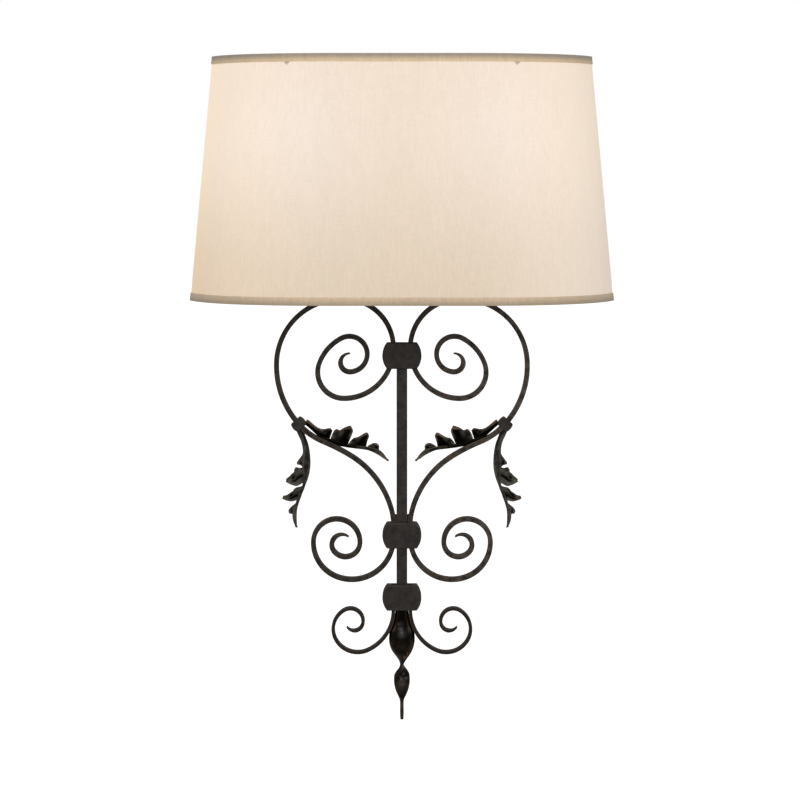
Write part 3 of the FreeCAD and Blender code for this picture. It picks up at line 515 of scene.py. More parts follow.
@dataclass(frozen=True)
class Cloth(Finish):
    """Slubbed silk-look cloth, lit from behind by the lamps.

    Attributes:
        thread: Tone of the thick threads.
        valley: Tone between them.
        edge: Painted warm light near the left edge, by the wall, where the lamps' light comes through at a
            slant.
        shadow: Tone of the painted shadow where an arm of the frame shows through.
        contrast: How much the threads differ.
        relief: Depth of the weave in metres.
    """

    thread: Colour = tone(0.690, 0.580, 0.460)
    valley: Colour = tone(0.595, 0.490, 0.375)
    edge: Colour = tone(0.640, 0.500, 0.340)
    shadow: Colour = tone(0.20, 0.15, 0.10)
    contrast: float = 0.70
    relief: float = 0.00014

    def fill(self, bench: Bench, shader: bpy.types.Node) -> None:
        """Weave, sheen and lamp light.

        Args:
            bench: Tools for the material's tree.
            shader: The Principled BSDF.
        """
        where = bench.place()
        weave = use_group(bench, weave_group(), Vector=where, Contrast=self.contrast)
        lamp = use_group(bench, glow_group(), Vector=where)
        cloth = bench.blend(bench.span(weave.outputs["Tint"], 0.25, 0.75), self.valley, self.thread)
        # Painted warm light near the left edge, by the wall.
        cloth = bench.blend(bench.times(lamp.outputs["Edge"], 0.5), cloth, self.edge)
        # Painted shadow of the frame's front arms.
        cloth = bench.blend(bench.times(lamp.outputs["Shadow"], 0.45), cloth, self.shadow)
        bench.feed(shader.inputs["Base Color"], cloth)
        lit = bench.times(bench.span(weave.outputs["Tint"], 0.2, 0.8, 0.94, 1.06),
                          bench.span(lamp.outputs["Shadow"], 0.0, 1.0, 1.0, 0.3))
        bench.feed(shader.inputs["Emission Color"], bench.tinted(lamp.outputs["Light"], lit))
        self.fix(shader, {"Emission Strength": 1.0, "Roughness": 0.78, "Specular IOR Level": 0.25,
                          "Sheen Weight": 0.18, "Sheen Roughness": 0.45})
        self.bump(bench, shader, weave.outputs["Height"], 0.35, self.relief)


@dataclass(frozen=True)
class Band(Finish):
    """Folded band of the same cloth over the shade's edge, with painted lamp light by the cloth and painted
    shade towards its outer edge.

    Attributes:
        pale: Tone of its edge by the cloth, lit by painted lamp light.
        deep: Tone of its outer edge, in painted shade.
        pale_z: Height where it is light.
        deep_z: Height where it is dark.
        contrast: How much the threads differ.
        relief: Depth of the weave in metres.
    """

    slot: str = "trim_fabric"
    pale: Colour = tone(0.716, 0.537, 0.335)
    deep: Colour = tone(0.330, 0.270, 0.210)
    pale_z: float = 0.0
    deep_z: float = 1.0
    contrast: float = 1.3
    relief: float = 0.0003

    def fill(self, bench: Bench, shader: bpy.types.Node) -> None:
        """Weave along the band, and its painted light and shade from edge to edge.

        Args:
            bench: Tools for the material's tree.
            shader: The Principled BSDF.
        """
        where = bench.place()
        weave = use_group(bench, weave_group(), Vector=where, Contrast=self.contrast)
        # Painted light and shade: pale by the cloth, darker towards the outer edge.
        share = bench.span(bench.split(where)[2], self.pale_z, self.deep_z)
        shade = bench.span(weave.outputs["Tint"], 0.2, 0.8, 0.86, 1.10)
        tint = bench.blend(share, self.pale, self.deep)
        bench.feed(shader.inputs["Base Color"], bench.tinted(tint, shade))
        self.fix(shader, {"Roughness": 0.8, "Sheen Weight": 0.15})
        self.bump(bench, shader, weave.outputs["Height"], 0.45, self.relief)


@dataclass(frozen=True)
class Lining(Finish):
    """Smooth white backing inside the shade, bright near the lamps.

    Attributes:
        white: Tone of the backing.
        fibre: Tone of its faint fibres.
        glow: How much more of the lamps' light it shows than the cloth.
        contrast: How much the fibres differ.
        relief: Depth of the fibres in metres.
    """

    white: Colour = tone(0.80, 0.77, 0.71)
    fibre: Colour = tone(0.72, 0.69, 0.63)
    glow: Colour = tone(1.25, 1.22, 1.12)
    contrast: float = 0.7
    relief: float = 0.0001

    def fill(self, bench: Bench, shader: bpy.types.Node) -> None:
        """Faint fibres and lamp light.

        Args:
            bench: Tools for the material's tree.
            shader: The Principled BSDF.
        """
        where = bench.place()
        weave = use_group(bench, weave_group(), Vector=where, Contrast=self.contrast)
        lamp = use_group(bench, glow_group(), Vector=where)
        bench.feed(shader.inputs["Base Color"], bench.blend(
            bench.span(weave.outputs["Tint"], 0.2, 0.8), self.fibre, self.white))
        bench.feed(shader.inputs["Emission Color"], bench.tinted(self.glow[:3], lamp.outputs["Light"]))
        self.fix(shader, {"Emission Strength": 1.0, "Roughness": 0.55})
        self.bump(bench, shader, weave.outputs["Height"], 0.15, self.relief)


class Sheen(Enum):
    """How a plain surface was finished: stretch of its fine marks and their depth in metres."""

    PLATED = ((1.0, 1.0, 1.0), 0.00003)
    TURNED = ((0.2, 0.2, 6.0), 0.00006)
    COATED = ((1.0, 1.0, 1.0), 0.00010)
    MOULDED = ((1.0, 1.0, 1.0), 0.00005)


@dataclass(frozen=True)
class Plain(Finish):
    """Metal, coated or moulded surface with fine marks of its making.

    Attributes:
        base: Main tone.
        second: Tone of its blotches.
        metallic: 1 for bare metal, 0 for a coat, plastic or rubber.
        roughness: Middle roughness.
        sheen: How it was finished.
    """

    base: Colour
    second: Colour
    metallic: float
    roughness: float
    sheen: Sheen

    def fill(self, bench: Bench, shader: bpy.types.Node) -> None:
        """Blotches, and marks that suit the finish.

        Args:
            bench: Tools for the material's tree.
            shader: The Principled BSDF.
        """
        where = bench.place()
        stretch, depth = self.sheen.value
        blotch = bench.noise(where, 90.0, 4.0, 0.6)
        fine = bench.noise(bench.stretch(where, stretch), 900.0, 3.0, 0.6)
        bench.feed(shader.inputs["Base Color"], bench.blend(
            bench.span(blotch, 0.35, 0.68), self.base, self.second))
        rough = bench.plus(bench.times(fine, 0.16), self.roughness - 0.08)
        bench.feed(shader.inputs["Roughness"], rough)
        self.fix(shader, {"Metallic": self.metallic})
        self.bump(bench, shader, fine, 0.5, depth)


@dataclass(frozen=True)
class Frosted(Finish):
    """Frosted lamp glass, lit from within.

    Attributes:
        body: Tone of the glass.
        cloudy: Tone of its faint clouds.
        ball_glow: Light of the ball on what stands round it.
        neck_glow: Light of the neck.
        seen_middle: Light of the ball's middle as the camera sees it.
        seen_rim: Light of its rim as the camera sees it.
    """

    body: Colour = tone(0.54, 0.50, 0.43)
    cloudy: Colour = tone(0.48, 0.44, 0.37)
    ball_glow: Colour = tone(1.0, 0.90, 0.72)
    neck_glow: Colour = tone(0.20, 0.14, 0.08)
    seen_middle: Colour = tone(0.60, 0.52, 0.38)
    seen_rim: Colour = tone(0.16, 0.11, 0.06)

    def fill(self, bench: Bench, shader: bpy.types.Node) -> None:
        """Soft frost, brightest round the ball, with a darker rim that shows its shape to the camera.

        Args:
            bench: Tools for the material's tree.
            shader: The Principled BSDF.
        """
        where = bench.place()
        frost = bench.noise(where, 1200.0, 3.0, 0.6)
        cloud = bench.noise(where, 40.0, 3.0, 0.5)
        warm = bench.span(bench.split(where)[2], 0.060, 0.110)
        rim = bench.span(bench.add("LayerWeight", {"Blend": 0.4}).outputs["Facing"], 0.10, 0.85)
        seen = bench.add("LightPath").outputs["Is Camera Ray"]
        shown = bench.blend(rim, self.seen_middle, self.seen_rim)
        bench.feed(shader.inputs["Base Color"], bench.blend(
            bench.span(cloud, 0.3, 0.7), self.cloudy, self.body))
        bench.feed(shader.inputs["Emission Color"], bench.blend(
            warm, self.neck_glow, bench.blend(seen, self.ball_glow, shown)))
        self.fix(shader, {"Emission Strength": 0.9, "Roughness": 0.42, "Transmission Weight": 0.08})
        self.bump(bench, shader, frost, 0.2, 0.00005)


class Finishes:
    """Every finish of the sconce, by what it covers."""

    # The bars carry painted light on their right side.
    BAR = Iron("bar iron", base=tone(0.0370, 0.0293, 0.0204), warmed=tone(0.0690, 0.0525, 0.0392))
    TAIL = Iron("tail iron", base=tone(0.0225, 0.0155, 0.0097))
    SPINE = Iron("spine iron", base=tone(0.0258, 0.0194, 0.0150), gloss=0.28)
    COLLAR = Iron("collar iron", base=tone(0.0210, 0.0166, 0.0134), dent_scale=95.0, dent_depth=0.35,
                  rub_amount=0.6, gloss=0.28)
    # The upper leaves' darker iron and the lower leaves' paler copy are shaded and lit copies of one iron:
    # painted shade and painted light.
    LEAF = Iron("leaf iron", base=tone(0.0270, 0.0255, 0.0178), dark=tone(0.0016, 0.0013, 0.0010),
                rubbed=tone(0.1450, 0.1080, 0.0790), dent_scale=320.0, dent_depth=0.30, rub_amount=1.3,
                roughness=0.48, relief=0.0003, gloss=0.22)
    PALE_LEAF = replace(LEAF, name="pale leaf iron", base=tone(0.0620, 0.0560, 0.0425), rub_amount=0.9,
                        dark=tone(0.0032, 0.0027, 0.0021), rubbed=tone(0.1080, 0.0890, 0.0690))
    DROP = Iron("drop iron", base=tone(0.0045, 0.0038, 0.0028), dark=tone(0.0020, 0.0016, 0.0012),
                rubbed=tone(0.0750, 0.0500, 0.0320), dent_scale=120.0, dent_depth=0.15, rub_amount=1.2,
                roughness=0.25, relief=0.00015, gloss=0.50)
    BRAZING = Iron("brazing iron", base=tone(0.0300, 0.0160, 0.0095), dark=tone(0.0100, 0.0060, 0.0040),
                   dent_scale=420.0, dent_depth=0.6, roughness=0.6, relief=0.0005)
    WELD = Iron("weld iron", dent_scale=420.0, dent_depth=0.8, roughness=0.6, relief=0.0006)
    CLOTH = Cloth("shade cloth", "panel_fabric")
    LINING = Lining("shade lining", "panel_fabric")
    BAND_TOP = Band("upper band", pale_z=0.1685, deep_z=0.1750)
    BAND_FOOT = Band("lower band", pale=tone(0.59, 0.45, 0.31), deep=tone(0.366, 0.289, 0.20),
                     pale_z=-0.0482, deep_z=-0.0555)
    MOUNT = Plain("mount coat", "mount_paint", tone(0.030, 0.026, 0.022), tone(0.020, 0.017, 0.015),
                  0.25, 0.48, Sheen.COATED)
    WIRE = Plain("frame wire coat", "frame_wire", tone(0.72, 0.70, 0.65), tone(0.64, 0.62, 0.57),
                 0.0, 0.40, Sheen.COATED)
    ZINC = Plain("zinc plate", "zinc", tone(0.60, 0.60, 0.58), tone(0.50, 0.51, 0.52),
                 1.0, 0.38, Sheen.PLATED)
    BRASS = Plain("turned brass", "brass", tone(0.62, 0.44, 0.18), tone(0.50, 0.34, 0.13),
                  1.0, 0.30, Sheen.TURNED)
    CAP = Plain("lamp cap metal", "cap_metal", tone(0.70, 0.70, 0.69), tone(0.62, 0.62, 0.62),
                1.0, 0.28, Sheen.TURNED)
    PHENOLIC = Plain("socket moulding", "socket_plastic", tone(0.022, 0.020, 0.019),
                     tone(0.030, 0.027, 0.025), 0.0, 0.45, Sheen.MOULDED)
    PAD = Plain("pad rubber", "pad_rubber", tone(0.045, 0.045, 0.045), tone(0.030, 0.030, 0.030),
                0.0, 0.75, Sheen.MOULDED)
    GLASS = Frosted("frosted lamp glass", "bulb_glass")


class SubAssembly:
    """A group of pieces that are built and dressed together.

    Attributes:
        body: CAD body that its new pieces move with.
    """

    body: str = "fixture"

    def build(self) -> None:
        """Make the pieces."""
        raise NotImplementedError

    def add_piece(self, name: str, bm: bmesh.types.BMesh, finish: Finish, *nodes: str,
                  weighted: bool = False) -> bpy.types.Object:
        """Turn a finished bmesh into a piece of the sconce.

        Args:
            name: Name of the new object.
            bm: The shape, in metres in the sconce's frame; it is freed.
            finish: What it is covered with.
            nodes: CAD nodes that it stands for.
            weighted: Whether flat faces keep flat shading next to rounded edges.

        Returns:
            The new object.
        """
        for face in bm.faces:
            face.smooth = True
        mesh = bpy.data.meshes.new(name)
        bm.to_mesh(mesh)
        bm.free()
        piece = bpy.data.objects.new(name, mesh)
        bpy.context.scene.collection.objects.link(piece)
        mesh.materials.append(finish.material())
        if weighted:
            fix = piece.modifiers.new("even shading", "WEIGHTED_NORMAL")
            fix.weight = 100
            fix.keep_sharp = True
        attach(piece, self.body)
        if nodes:
            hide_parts(*nodes)
        LOG.info("%s: %d faces on %s", name, len(mesh.polygons), self.body)
        return piece

    def paint(self, finish: Finish, *nodes: str) -> None:
        """Give CAD nodes that stay as they are a finish.

        Args:
            finish: What they are covered with.
            nodes: Names of the nodes.
        """
        for node in nodes:
            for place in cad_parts[node].material_slots:
                place.material = finish.material()
            LOG.info("%s painted with %s", node, finish.name)


def merged_copy(node: str) -> bmesh.types.BMesh:
    """Closed copy of a CAD node's loose triangles, with its flat faces made whole.

    Args:
        node: Name of the CAD node.

    Returns:
        The copy.
    """
    bm = bmesh.new()
    bm.from_mesh(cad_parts[node].data)
    bmesh.ops.remove_doubles(bm, verts=bm.verts, dist=0.002 * MM)
    bmesh.ops.dissolve_limit(bm, angle_limit=math.radians(0.6), verts=bm.verts, edges=bm.edges)
    return bm


def softened_copy(node: str, width: float, steps: int = 2, angle: float = 35.0) -> bmesh.types.BMesh:
    """Copy of a CAD node with its sharp edges rounded and marked as rubbed.

    Args:
        node: Name of the CAD node.
        width: Width of the rounding in metres.
        steps: Faces across the rounding.
        angle: Edges sharper than this many degrees are rounded.

    Returns:
        The softened copy.
    """
    bm = merged_copy(node)
    sharp = [e for e in bm.edges if e.is_manifold and e.calc_face_angle(0.0) > math.radians(angle)]
    made = bmesh.ops.bevel(bm, geom=sharp, offset=width, offset_type="OFFSET", affect="EDGES",
                           segments=steps, profile=0.5, material=-1, clamp_overlap=True)
    rub = bm.loops.layers.float.new("rub")
    for face in made["faces"]:
        for loop in face.loops:
            loop[rub] = 1.0
    return bm


def mark_sharp_edges(piece: bpy.types.Object, degrees: float) -> None:
    """Mark the edges of a mesh that are sharper than an angle, so that the rest shades smooth.

    Args:
        piece: The object.
        degrees: Limit angle.
    """
    bm = bmesh.new()
    bm.from_mesh(piece.data)
    for edge in bm.edges:
        edge.smooth = not edge.is_manifold or edge.calc_face_angle(0.0) < math.radians(degrees)
    bm.to_mesh(piece.data)
    bm.free()


def marks(bm: bmesh.types.BMesh) -> list[bmesh.types.BMLayerItem]:
    """The two values that each vertex of a cast piece carries: its painted shade, and its rubbed wear
    together with painted highlight.
    """
    layers = bm.verts.layers.float
    return [layers.get(name) or layers.new(name) for name in ("hollow", "rub")]


def flow(points: Sequence[Sequence[float]], share: float) -> Vector:
    """Point on a smooth line through given points.

    Args:
        points: The points, each with the same count of numbers.
        share: Place along the line, from 0 to 1.

    Returns:
        The point.
    """
    spans = len(points) - 1
    at = min(max(share, 0.0), 1.0) * spans
    index = min(int(at), spans - 1)
    t = at - index
    a, b, c, d = (Vector(points[min(max(index + k, 0), spans)]) for k in (-1, 0, 1, 2))
    return 0.5 * ((2 * b) + (c - a) * t + (2 * a - 5 * b + 4 * c - d) * t * t
                  + (3 * b - a - 3 * c + d) * t * t * t)


@dataclass
class Bracket(SubAssembly):
    """Bars, collars, clamps and welds of the ironwork.

    Attributes:
        bar_round: Rounding of the bars' edges.
        collar_round: Rounding of the collars' edges.
        clamp_round: Rounding of the clamps' edges.
        bead_size: Half sizes of a brazing bead.
        bead_place: Where the right bead's middle is.
        bars: The side bars.
        tails: The small scrolls under the lowest collar.
        collars: The bands round the bars.
        clamps: The small bands that hold the leaves.
    """

    bar_round: float = 0.55 * MM
    collar_round: float = 0.9 * MM
    clamp_round: float = 1.5 * MM
    bead_size: tuple[float, float, float] = (2.9 * MM, 4.1 * MM, 6.4 * MM)
    bead_place: tuple[float, float, float] = (6.1 * MM, -23.9 * MM, -264.6 * MM)
    bars: tuple[str, ...] = ("side_bar_left", "side_bar_right")
    tails: tuple[str, ...] = ("tail_scroll_left", "tail_scroll_right")
    collars: tuple[str, ...] = ("collar_upper", "collar_middle", "collar_lower")
    clamps: tuple[str, ...] = ("leaf_clamp_left", "leaf_clamp_right")

    def build(self) -> None:
        """Copy each piece with rounded edges, since forged edges catch light."""
        for nodes, width, steps, finish in (
                (("spine_bar",), self.bar_round, 2, Finishes.SPINE),
                (self.bars, self.bar_round, 2, Finishes.BAR),
                (self.tails, self.bar_round, 2, Finishes.TAIL),
                (self.collars, self.collar_round, 3, Finishes.COLLAR),
                (self.clamps, self.clamp_round, 3, Finishes.COLLAR)):
            for node in nodes:
                softened = softened_copy(node, width, steps)
                self.add_piece(node + "_iron", softened, finish, node, weighted=True)
        self.paint(Finishes.WELD, "loop_weld_left", "loop_weld_right")
        for side in Side:
            self.bead(f"collar_bead_{side.word}", side)

    def bead(self, name: str, side: Side) -> None:
        """Brazing that fills the slit between a side bar and the spine on the middle collar.

        Args:
            name: Name of the new piece.
            side: Which slit.
        """
        bm = bmesh.new()
        bmesh.ops.create_uvsphere(bm, u_segments=20, v_segments=14, radius=1.0)
        bmesh.ops.scale(bm, verts=bm.verts, vec=self.bead_size)
        bmesh.ops.translate(bm, verts=bm.verts, vec=(side.value * self.bead_place[0], *self.bead_place[1:]))
        self.add_piece(name, bm, Finishes.BRAZING)


def hump(place: float, middle: float, width: float) -> float:
    """Smooth bump of height 1 round a middle."""
    return math.exp(-((place - middle) / width) ** 2)


def ramp(value: float, low: float, high: float) -> float:
    """Smooth step from 0 at low to 1 at high."""
    share = min(1.0, max(0.0, (value - low) / (high - low)))
    return share * share * (3.0 - 2.0 * share)


def line(*places: tuple[int, int]) -> tuple[Share, ...]:
    """Points given in thousandths of a leaf's length, along it and out from it, as shares."""
    return tuple((along / 1000, out / 1000) for along, out in places)


@dataclass(frozen=True)
class Lobe:
    """One lobe of a leaf between its two edges, in shares of the leaf's length.

    Attributes:
        near: Edge on the stem's side, from under the rib to the tip.
        far: Edge on the leaf tip's side, from under the rib to the same tip.
        ridge: Place across the lobe of its raised middle vein, at the rib.
        well: Place across the lobe of its deepest hollow, at the rib.
        drift: How far ridge and hollow move across on their way to the tip.
        depth: Share of the leaf's full relief that this lobe has.
        lean: How far its tip leans towards the room, in metres.
        foot: How much painted shade darkens its foot, from 0 to 1.
        glint: How much its near rim is lit and rubbed bare, painted highlight and wear, from 0 to 1.
        start: Place along the lobe where the lit, rubbed rims start.
        edge: Width of the near rim across the lobe, on its way to the tip.
        tip: How much its whole tip is lit and rubbed bare, painted highlight and wear, from 0 to 1.
    """

    near: tuple[Share, ...]
    far: tuple[Share, ...]
    ridge: float = 0.42
    well: float = 0.74
    drift: float = 0.0
    depth: float = 1.0
    lean: float = 2.2 * MM
    foot: float = 1.0
    glint: float = 0.9
    start: float = 0.30
    edge: float = 0.16
    tip: float = 1.0


@dataclass(frozen=True)
class LeafShape:
    """Outline of one kind of leaf.

    Attributes:
        node: First part of the CAD node's name.
        length: Length from clamp to tip in metres.
        heading: Direction of the left leaf in degrees.
        flip: 1 where the lobes stand on the left of the heading, -1 on the right.
        gloom: How much painted shade darkens its hollows and foot, from 0 to 1.
        narrow: Width of its deepest hollows as a share of a lobe.
        finish: What it is covered with.
        inner: Line along the foot of the lobes.
        back: Plain edge of the leaf.
        lobes: The lobes, from the clamp to the tip.
    """

    node: str
    length: float
    heading: float
    flip: int
    gloom: float
    narrow: float
    finish: Iron
    inner: tuple[Share, ...]
    back: tuple[Share, ...]
    lobes: tuple[Lobe, ...]


UPPER_LEAF = LeafShape(
    "upper_leaf", 87.0 * MM, -23.3, 1, 0.88, 0.13, Finishes.LEAF,
    line((190, 0), (269, -4), (353, 10), (437, 20), (536, 27), (638, 51), (737, 85), (812, 103),
         (887, 109), (941, 94), (986, 68), (1030, 39)),
    line((211, -20), (297, -40), (379, -38), (457, -26), (542, -3), (647, 29), (744, 54), (812, 61),
         (891, 57), (936, 50), (979, 41), (1030, 39)),
    (
        Lobe(line((32, 93), (51, 97), (96, 82), (136, 72), (177, 72), (225, 72), (269, 94), (318, 110)),
             line((23, 60), (83, 40), (146, 18), (215, -7), (280, -25), (339, -22), (333, 42), (318, 110)),
             ridge=0.0, well=0.68, depth=0.9, lean=1.0 * MM, foot=0.0, glint=1.0, start=-0.2, edge=0.26,
             tip=0.0),
        Lobe(line((358, -11), (352, 36), (352, 86), (361, 131), (407, 132), (440, 167), (489, 221)),
             line((551, 5), (547, 58), (547, 120), (543, 182), (522, 211), (489, 221))),
        Lobe(line((547, 3), (557, 47), (567, 88), (577, 111), (616, 132), (648, 167), (689, 224)),
             line((747, 70), (735, 115), (729, 160), (727, 200), (711, 222), (689, 224))),
        Lobe(line((754, 68), (762, 105), (784, 132), (812, 149), (846, 155)),
             line((909, 92), (885, 110), (870, 135), (846, 155)), depth=0.6, lean=1.2 * MM),
    ))
LOWER_LEAF = LeafShape(
    "lower_leaf", 93.5 * MM, -93.2, -1, 0.15, 0.07, Finishes.PALE_LEAF,
    line((20, 47), (88, 16), (141, -13), (201, -31), (262, -38), (334, -35), (406, -37), (487, -54),
         (563, -66), (620, -52), (683, -27), (735, -6), (788, 12), (840, 26), (891, 34), (942, 29),
         (986, 14), (1022, -11)),
    line((20, -28), (96, -56), (158, -84), (238, -106), (319, -118), (401, -122), (483, -113), (567, -91),
         (635, -63), (692, -39), (750, -26), (796, -16), (843, -11), (889, -10), (935, -11), (976, -15),
         (1005, -18), (1032, -22)),
    (
        Lobe(line((252, -43), (294, -29), (330, -13), (369, 8)),
             line((413, -52), (398, -35), (384, -15), (369, 8)), depth=0.5, lean=0.8 * MM),
        Lobe(line((411, -54), (419, -15), (414, 9), (418, 31), (449, 30), (474, 51), (512, 77), (550, 114)),
             line((555, -86), (567, -52), (588, -22), (603, 10), (594, 53), (579, 89), (550, 114)),
             ridge=0.26, well=0.50, drift=0.28, depth=0.8),
        Lobe(line((580, -79), (607, -36), (616, -4), (626, 19), (652, 29), (682, 64), (709, 96),
                  (723, 140)),
             line((759, -30), (750, 6), (758, 30), (762, 64), (750, 108), (723, 140)), ridge=0.30,
             well=0.62, drift=0.1),
        Lobe(line((766, -12), (798, 27), (834, 53), (871, 68)),
             line((926, 6), (901, 26), (888, 43), (871, 68)), depth=0.6, lean=1.2 * MM),
    ))


@dataclass
class Leaf(SubAssembly):
    """Cast acanthus leaf seen from its side: a ridged rib with hollow lobes and rolled edges.

    Attributes:
        shape: Outline and finish.
        side: Left or right half of the sconce.
        base: Where the left leaf springs from its clamp, across and up.
        middle: Where its middle stands, towards the wall.
        shell: Thickness of the casting.
        hollow: Depth of its deepest hollows.
        roll: Height of its rolled edges.
        grow: How far its outline is moved out, to make up for the smoothing.
        rib_grid: Faces across and along the rib.
        lobe_grid: Faces across and along each lobe.
    """

    shape: LeafShape
    side: Side
    base: tuple[float, float] = (-96.4 * MM, -175.1 * MM)
    middle: float = -24.2 * MM
    shell: float = 1.3 * MM
    hollow: float = 2.7 * MM
    roll: float = 1.5 * MM
    grow: float = 0.3 * MM
    rib_grid: tuple[int, int] = (16, 56)
    lobe_grid: tuple[int, int] = (26, 22)

    def between(self, first: Sequence[Share], second: Sequence[Share], across: float,
                along: float) -> Vector:
        """Point between two edges of the outline, both moved out by a little growth.

        Args:
            first: The first edge.
            second: The second edge.
            across: Share of the way from the first to the second.
            along: Share of the way along both.

        Returns:
            The point, in shares of the leaf's length.
        """
        a, b = flow(first, along), flow(second, along)
        out = (b - a).normalized() * (self.grow / self.shape.length)
        return a.lerp(b, across) + out * (2.0 * across - 1.0)

    def place(self, spot: Vector, forward: float) -> Vector:
        """Point of the leaf in the sconce's frame.

        Args:
            spot: Its shares of the leaf's length, along and out.
            forward: Step towards the room in metres.

        Returns:
            The point in metres.
        """
        turn = math.radians(self.shape.heading)
        a, c = spot.x * self.shape.length, spot.y * self.shape.length * self.shape.flip
        x = self.base[0] + a * math.cos(turn) - c * math.sin(turn)
        z = self.base[1] + a * math.sin(turn) + c * math.cos(turn)
        return Vector((x * -self.side.value, self.middle - forward, z))

    def patch(self, bm: bmesh.types.BMesh, grid: tuple[int, int],
              form: Callable[[float, float], tuple[Vector, float, float]]) -> None:
        """Add one bent grid.

        Args:
            bm: The leaf being built.
            grid: Faces across and along.
            form: Gives the point and its painted-shade and rub shares for a place across and along.
        """
        hollow, rub = marks(bm)
        made = bmesh.ops.create_grid(bm, x_segments=grid[0], y_segments=grid[1], size=0.5)
        for vert in made["verts"]:
            vert.co, vert[hollow], vert[rub] = form(vert.co.x + 0.5, vert.co.y + 0.5)

    def rib_form(self, across: float, along: float) -> tuple[Vector, float, float]:
        """Rib with two long ridges and a groove between them.

        Args:
            across: Share of the way from the lobes' foot to the plain edge.
            along: Share of the way from the clamp to the tip.

        Returns:
            The point, its painted shade, and its painted highlight given as rubbed.
        """
        gloom = self.shape.gloom
        spot = self.between(self.shape.inner, self.shape.back, across, along)
        fade = 1.0 - 0.85 * ramp(along, 0.45, 0.85)
        ridges = hump(across, 0.24, 0.17) + 0.85 * hump(across, 0.78, 0.15)
        groove = hump(across, 0.74 - 0.20 * ramp(along, 0.08, 0.40), 0.17 - 0.06 * ramp(along, 0.10, 0.40))
        forward = (1.7 * ridges - 0.6 * groove) * MM * fade * (0.25 + 0.75 * ramp(along, 0.05, 0.35))
        # Painted shade in the groove and over the rib's first part, and painted highlight along its ridges,
        # in the rubbed tone.
        early = 1.0 - ramp(along, 0.30, 0.62)
        dark = min(1.0, max(gloom * early, groove * (1.0 - 0.75 * ramp(along, 0.10, 0.28))))
        lit = (0.6 - 0.3 * gloom) * hump(across, 0.12, 0.18)
        lit += (1.0 - 0.5 * gloom) * hump(across, 0.90, 0.12) * ramp(along, 0.15, 0.35)
        lit = max(lit, 0.5 * gloom * ramp(along, 0.62, 0.85))
        return self.place(spot, forward), dark, lit * (1.0 - gloom * early)

    def lobe_form(self, lobe: Lobe) -> Callable[[float, float], tuple[Vector, float, float]]:
        """Form of one lobe: rolled edges, a raised vein and a deep hollow that both end short of the tip.

        Args:
            lobe: The lobe.

        Returns:
            Function that gives each of its points.
        """
        def form(across: float, along: float) -> tuple[Vector, float, float]:
            """One point of the lobe.

            Args:
                across: Share of the way from the near to the far edge.
                along: Share of the way to the tip.

            Returns:
                The point, its painted shade, and its painted highlight and wear given as rubbed.
            """
            spot = self.between(lobe.near, lobe.far, across, along)
            reach = 1.0 - lobe.tip * ramp(along, 0.58, 0.82)
            moved = lobe.drift * along
            rim = hump(across, 0.04, lobe.edge * (0.45 + 1.65 * (1.0 - along) ** 2.5))
            lip = hump(across, 0.97, 0.11)
            ridge = hump(across, lobe.ridge + moved, 0.13) * (1.0 - ramp(along, 0.50, 0.70))
            well = hump(across, lobe.well + moved, self.shape.narrow) * reach
            bowl = hump(along, 0.66, 0.08) * hump(across, lobe.ridge + moved, 0.16)
            deep = min(1.0, max(well, bowl))
            flute = 0.5 - 0.5 * math.cos((across - lobe.ridge - moved) * math.tau * 2.5)
            forward = lobe.depth * (self.roll * (0.8 * rim + 0.6 * lip + 0.7 * ridge) - self.hollow * deep)
            forward += lobe.lean * along * along - 0.25 * MM * flute * reach
            # Painted shade in the hollow, at the foot and between the veins; painted highlight, in the
            # rubbed tone, on the near rim, the lip and the tip, partly wear.
            foot = lobe.foot * (1.0 - ramp(along, 0.22, 0.50))
            veined = (0.65 - 0.25 * lobe.tip + 0.55 * flute) * reach
            dark = max(1.2 * deep, self.shape.gloom * max(foot, veined))
            bare = max(lobe.tip * ramp(along, 0.66, 0.88), ramp(along, 0.92, 1.0))
            chip = 0.8 * lobe.tip * hump(across, 0.0, 0.16) * hump(along, 0.20, 0.07)
            lit = max(lobe.glint * rim, 0.7 * lobe.tip * lip, bare)
            lit *= ramp(along, lobe.start, lobe.start + 0.2)
            lit = max(lit, chip, 0.15 * ridge * (1.0 - foot))
            return self.place(spot, forward), min(1.0, dark) * (1.0 - 0.9 * lit), lit

        return form

    def build(self) -> None:
        """Rib and lobes as bent grids, thickened and smoothed."""
        bm = bmesh.new()
        self.patch(bm, self.rib_grid, self.rib_form)
        for lobe in self.shape.lobes:
            self.patch(bm, self.lobe_grid, self.lobe_form(lobe))
        bmesh.ops.remove_doubles(bm, verts=bm.verts, dist=0.01 * MM)
        bm.normal_update()
        bmesh.ops.reverse_faces(bm, faces=[f for f in bm.faces if f.normal.y > 0])
        node = f"{self.shape.node}_{self.side.word}"
        piece = self.add_piece(node + "_cast", bm, self.shape.finish, node)
        wall = piece.modifiers.new("wall", "SOLIDIFY")
        wall.thickness = self.shell
        wall.offset = -1.0
        soft = piece.modifiers.new("smooth", "SUBSURF")
        soft.levels = 1
        soft.render_levels = 1


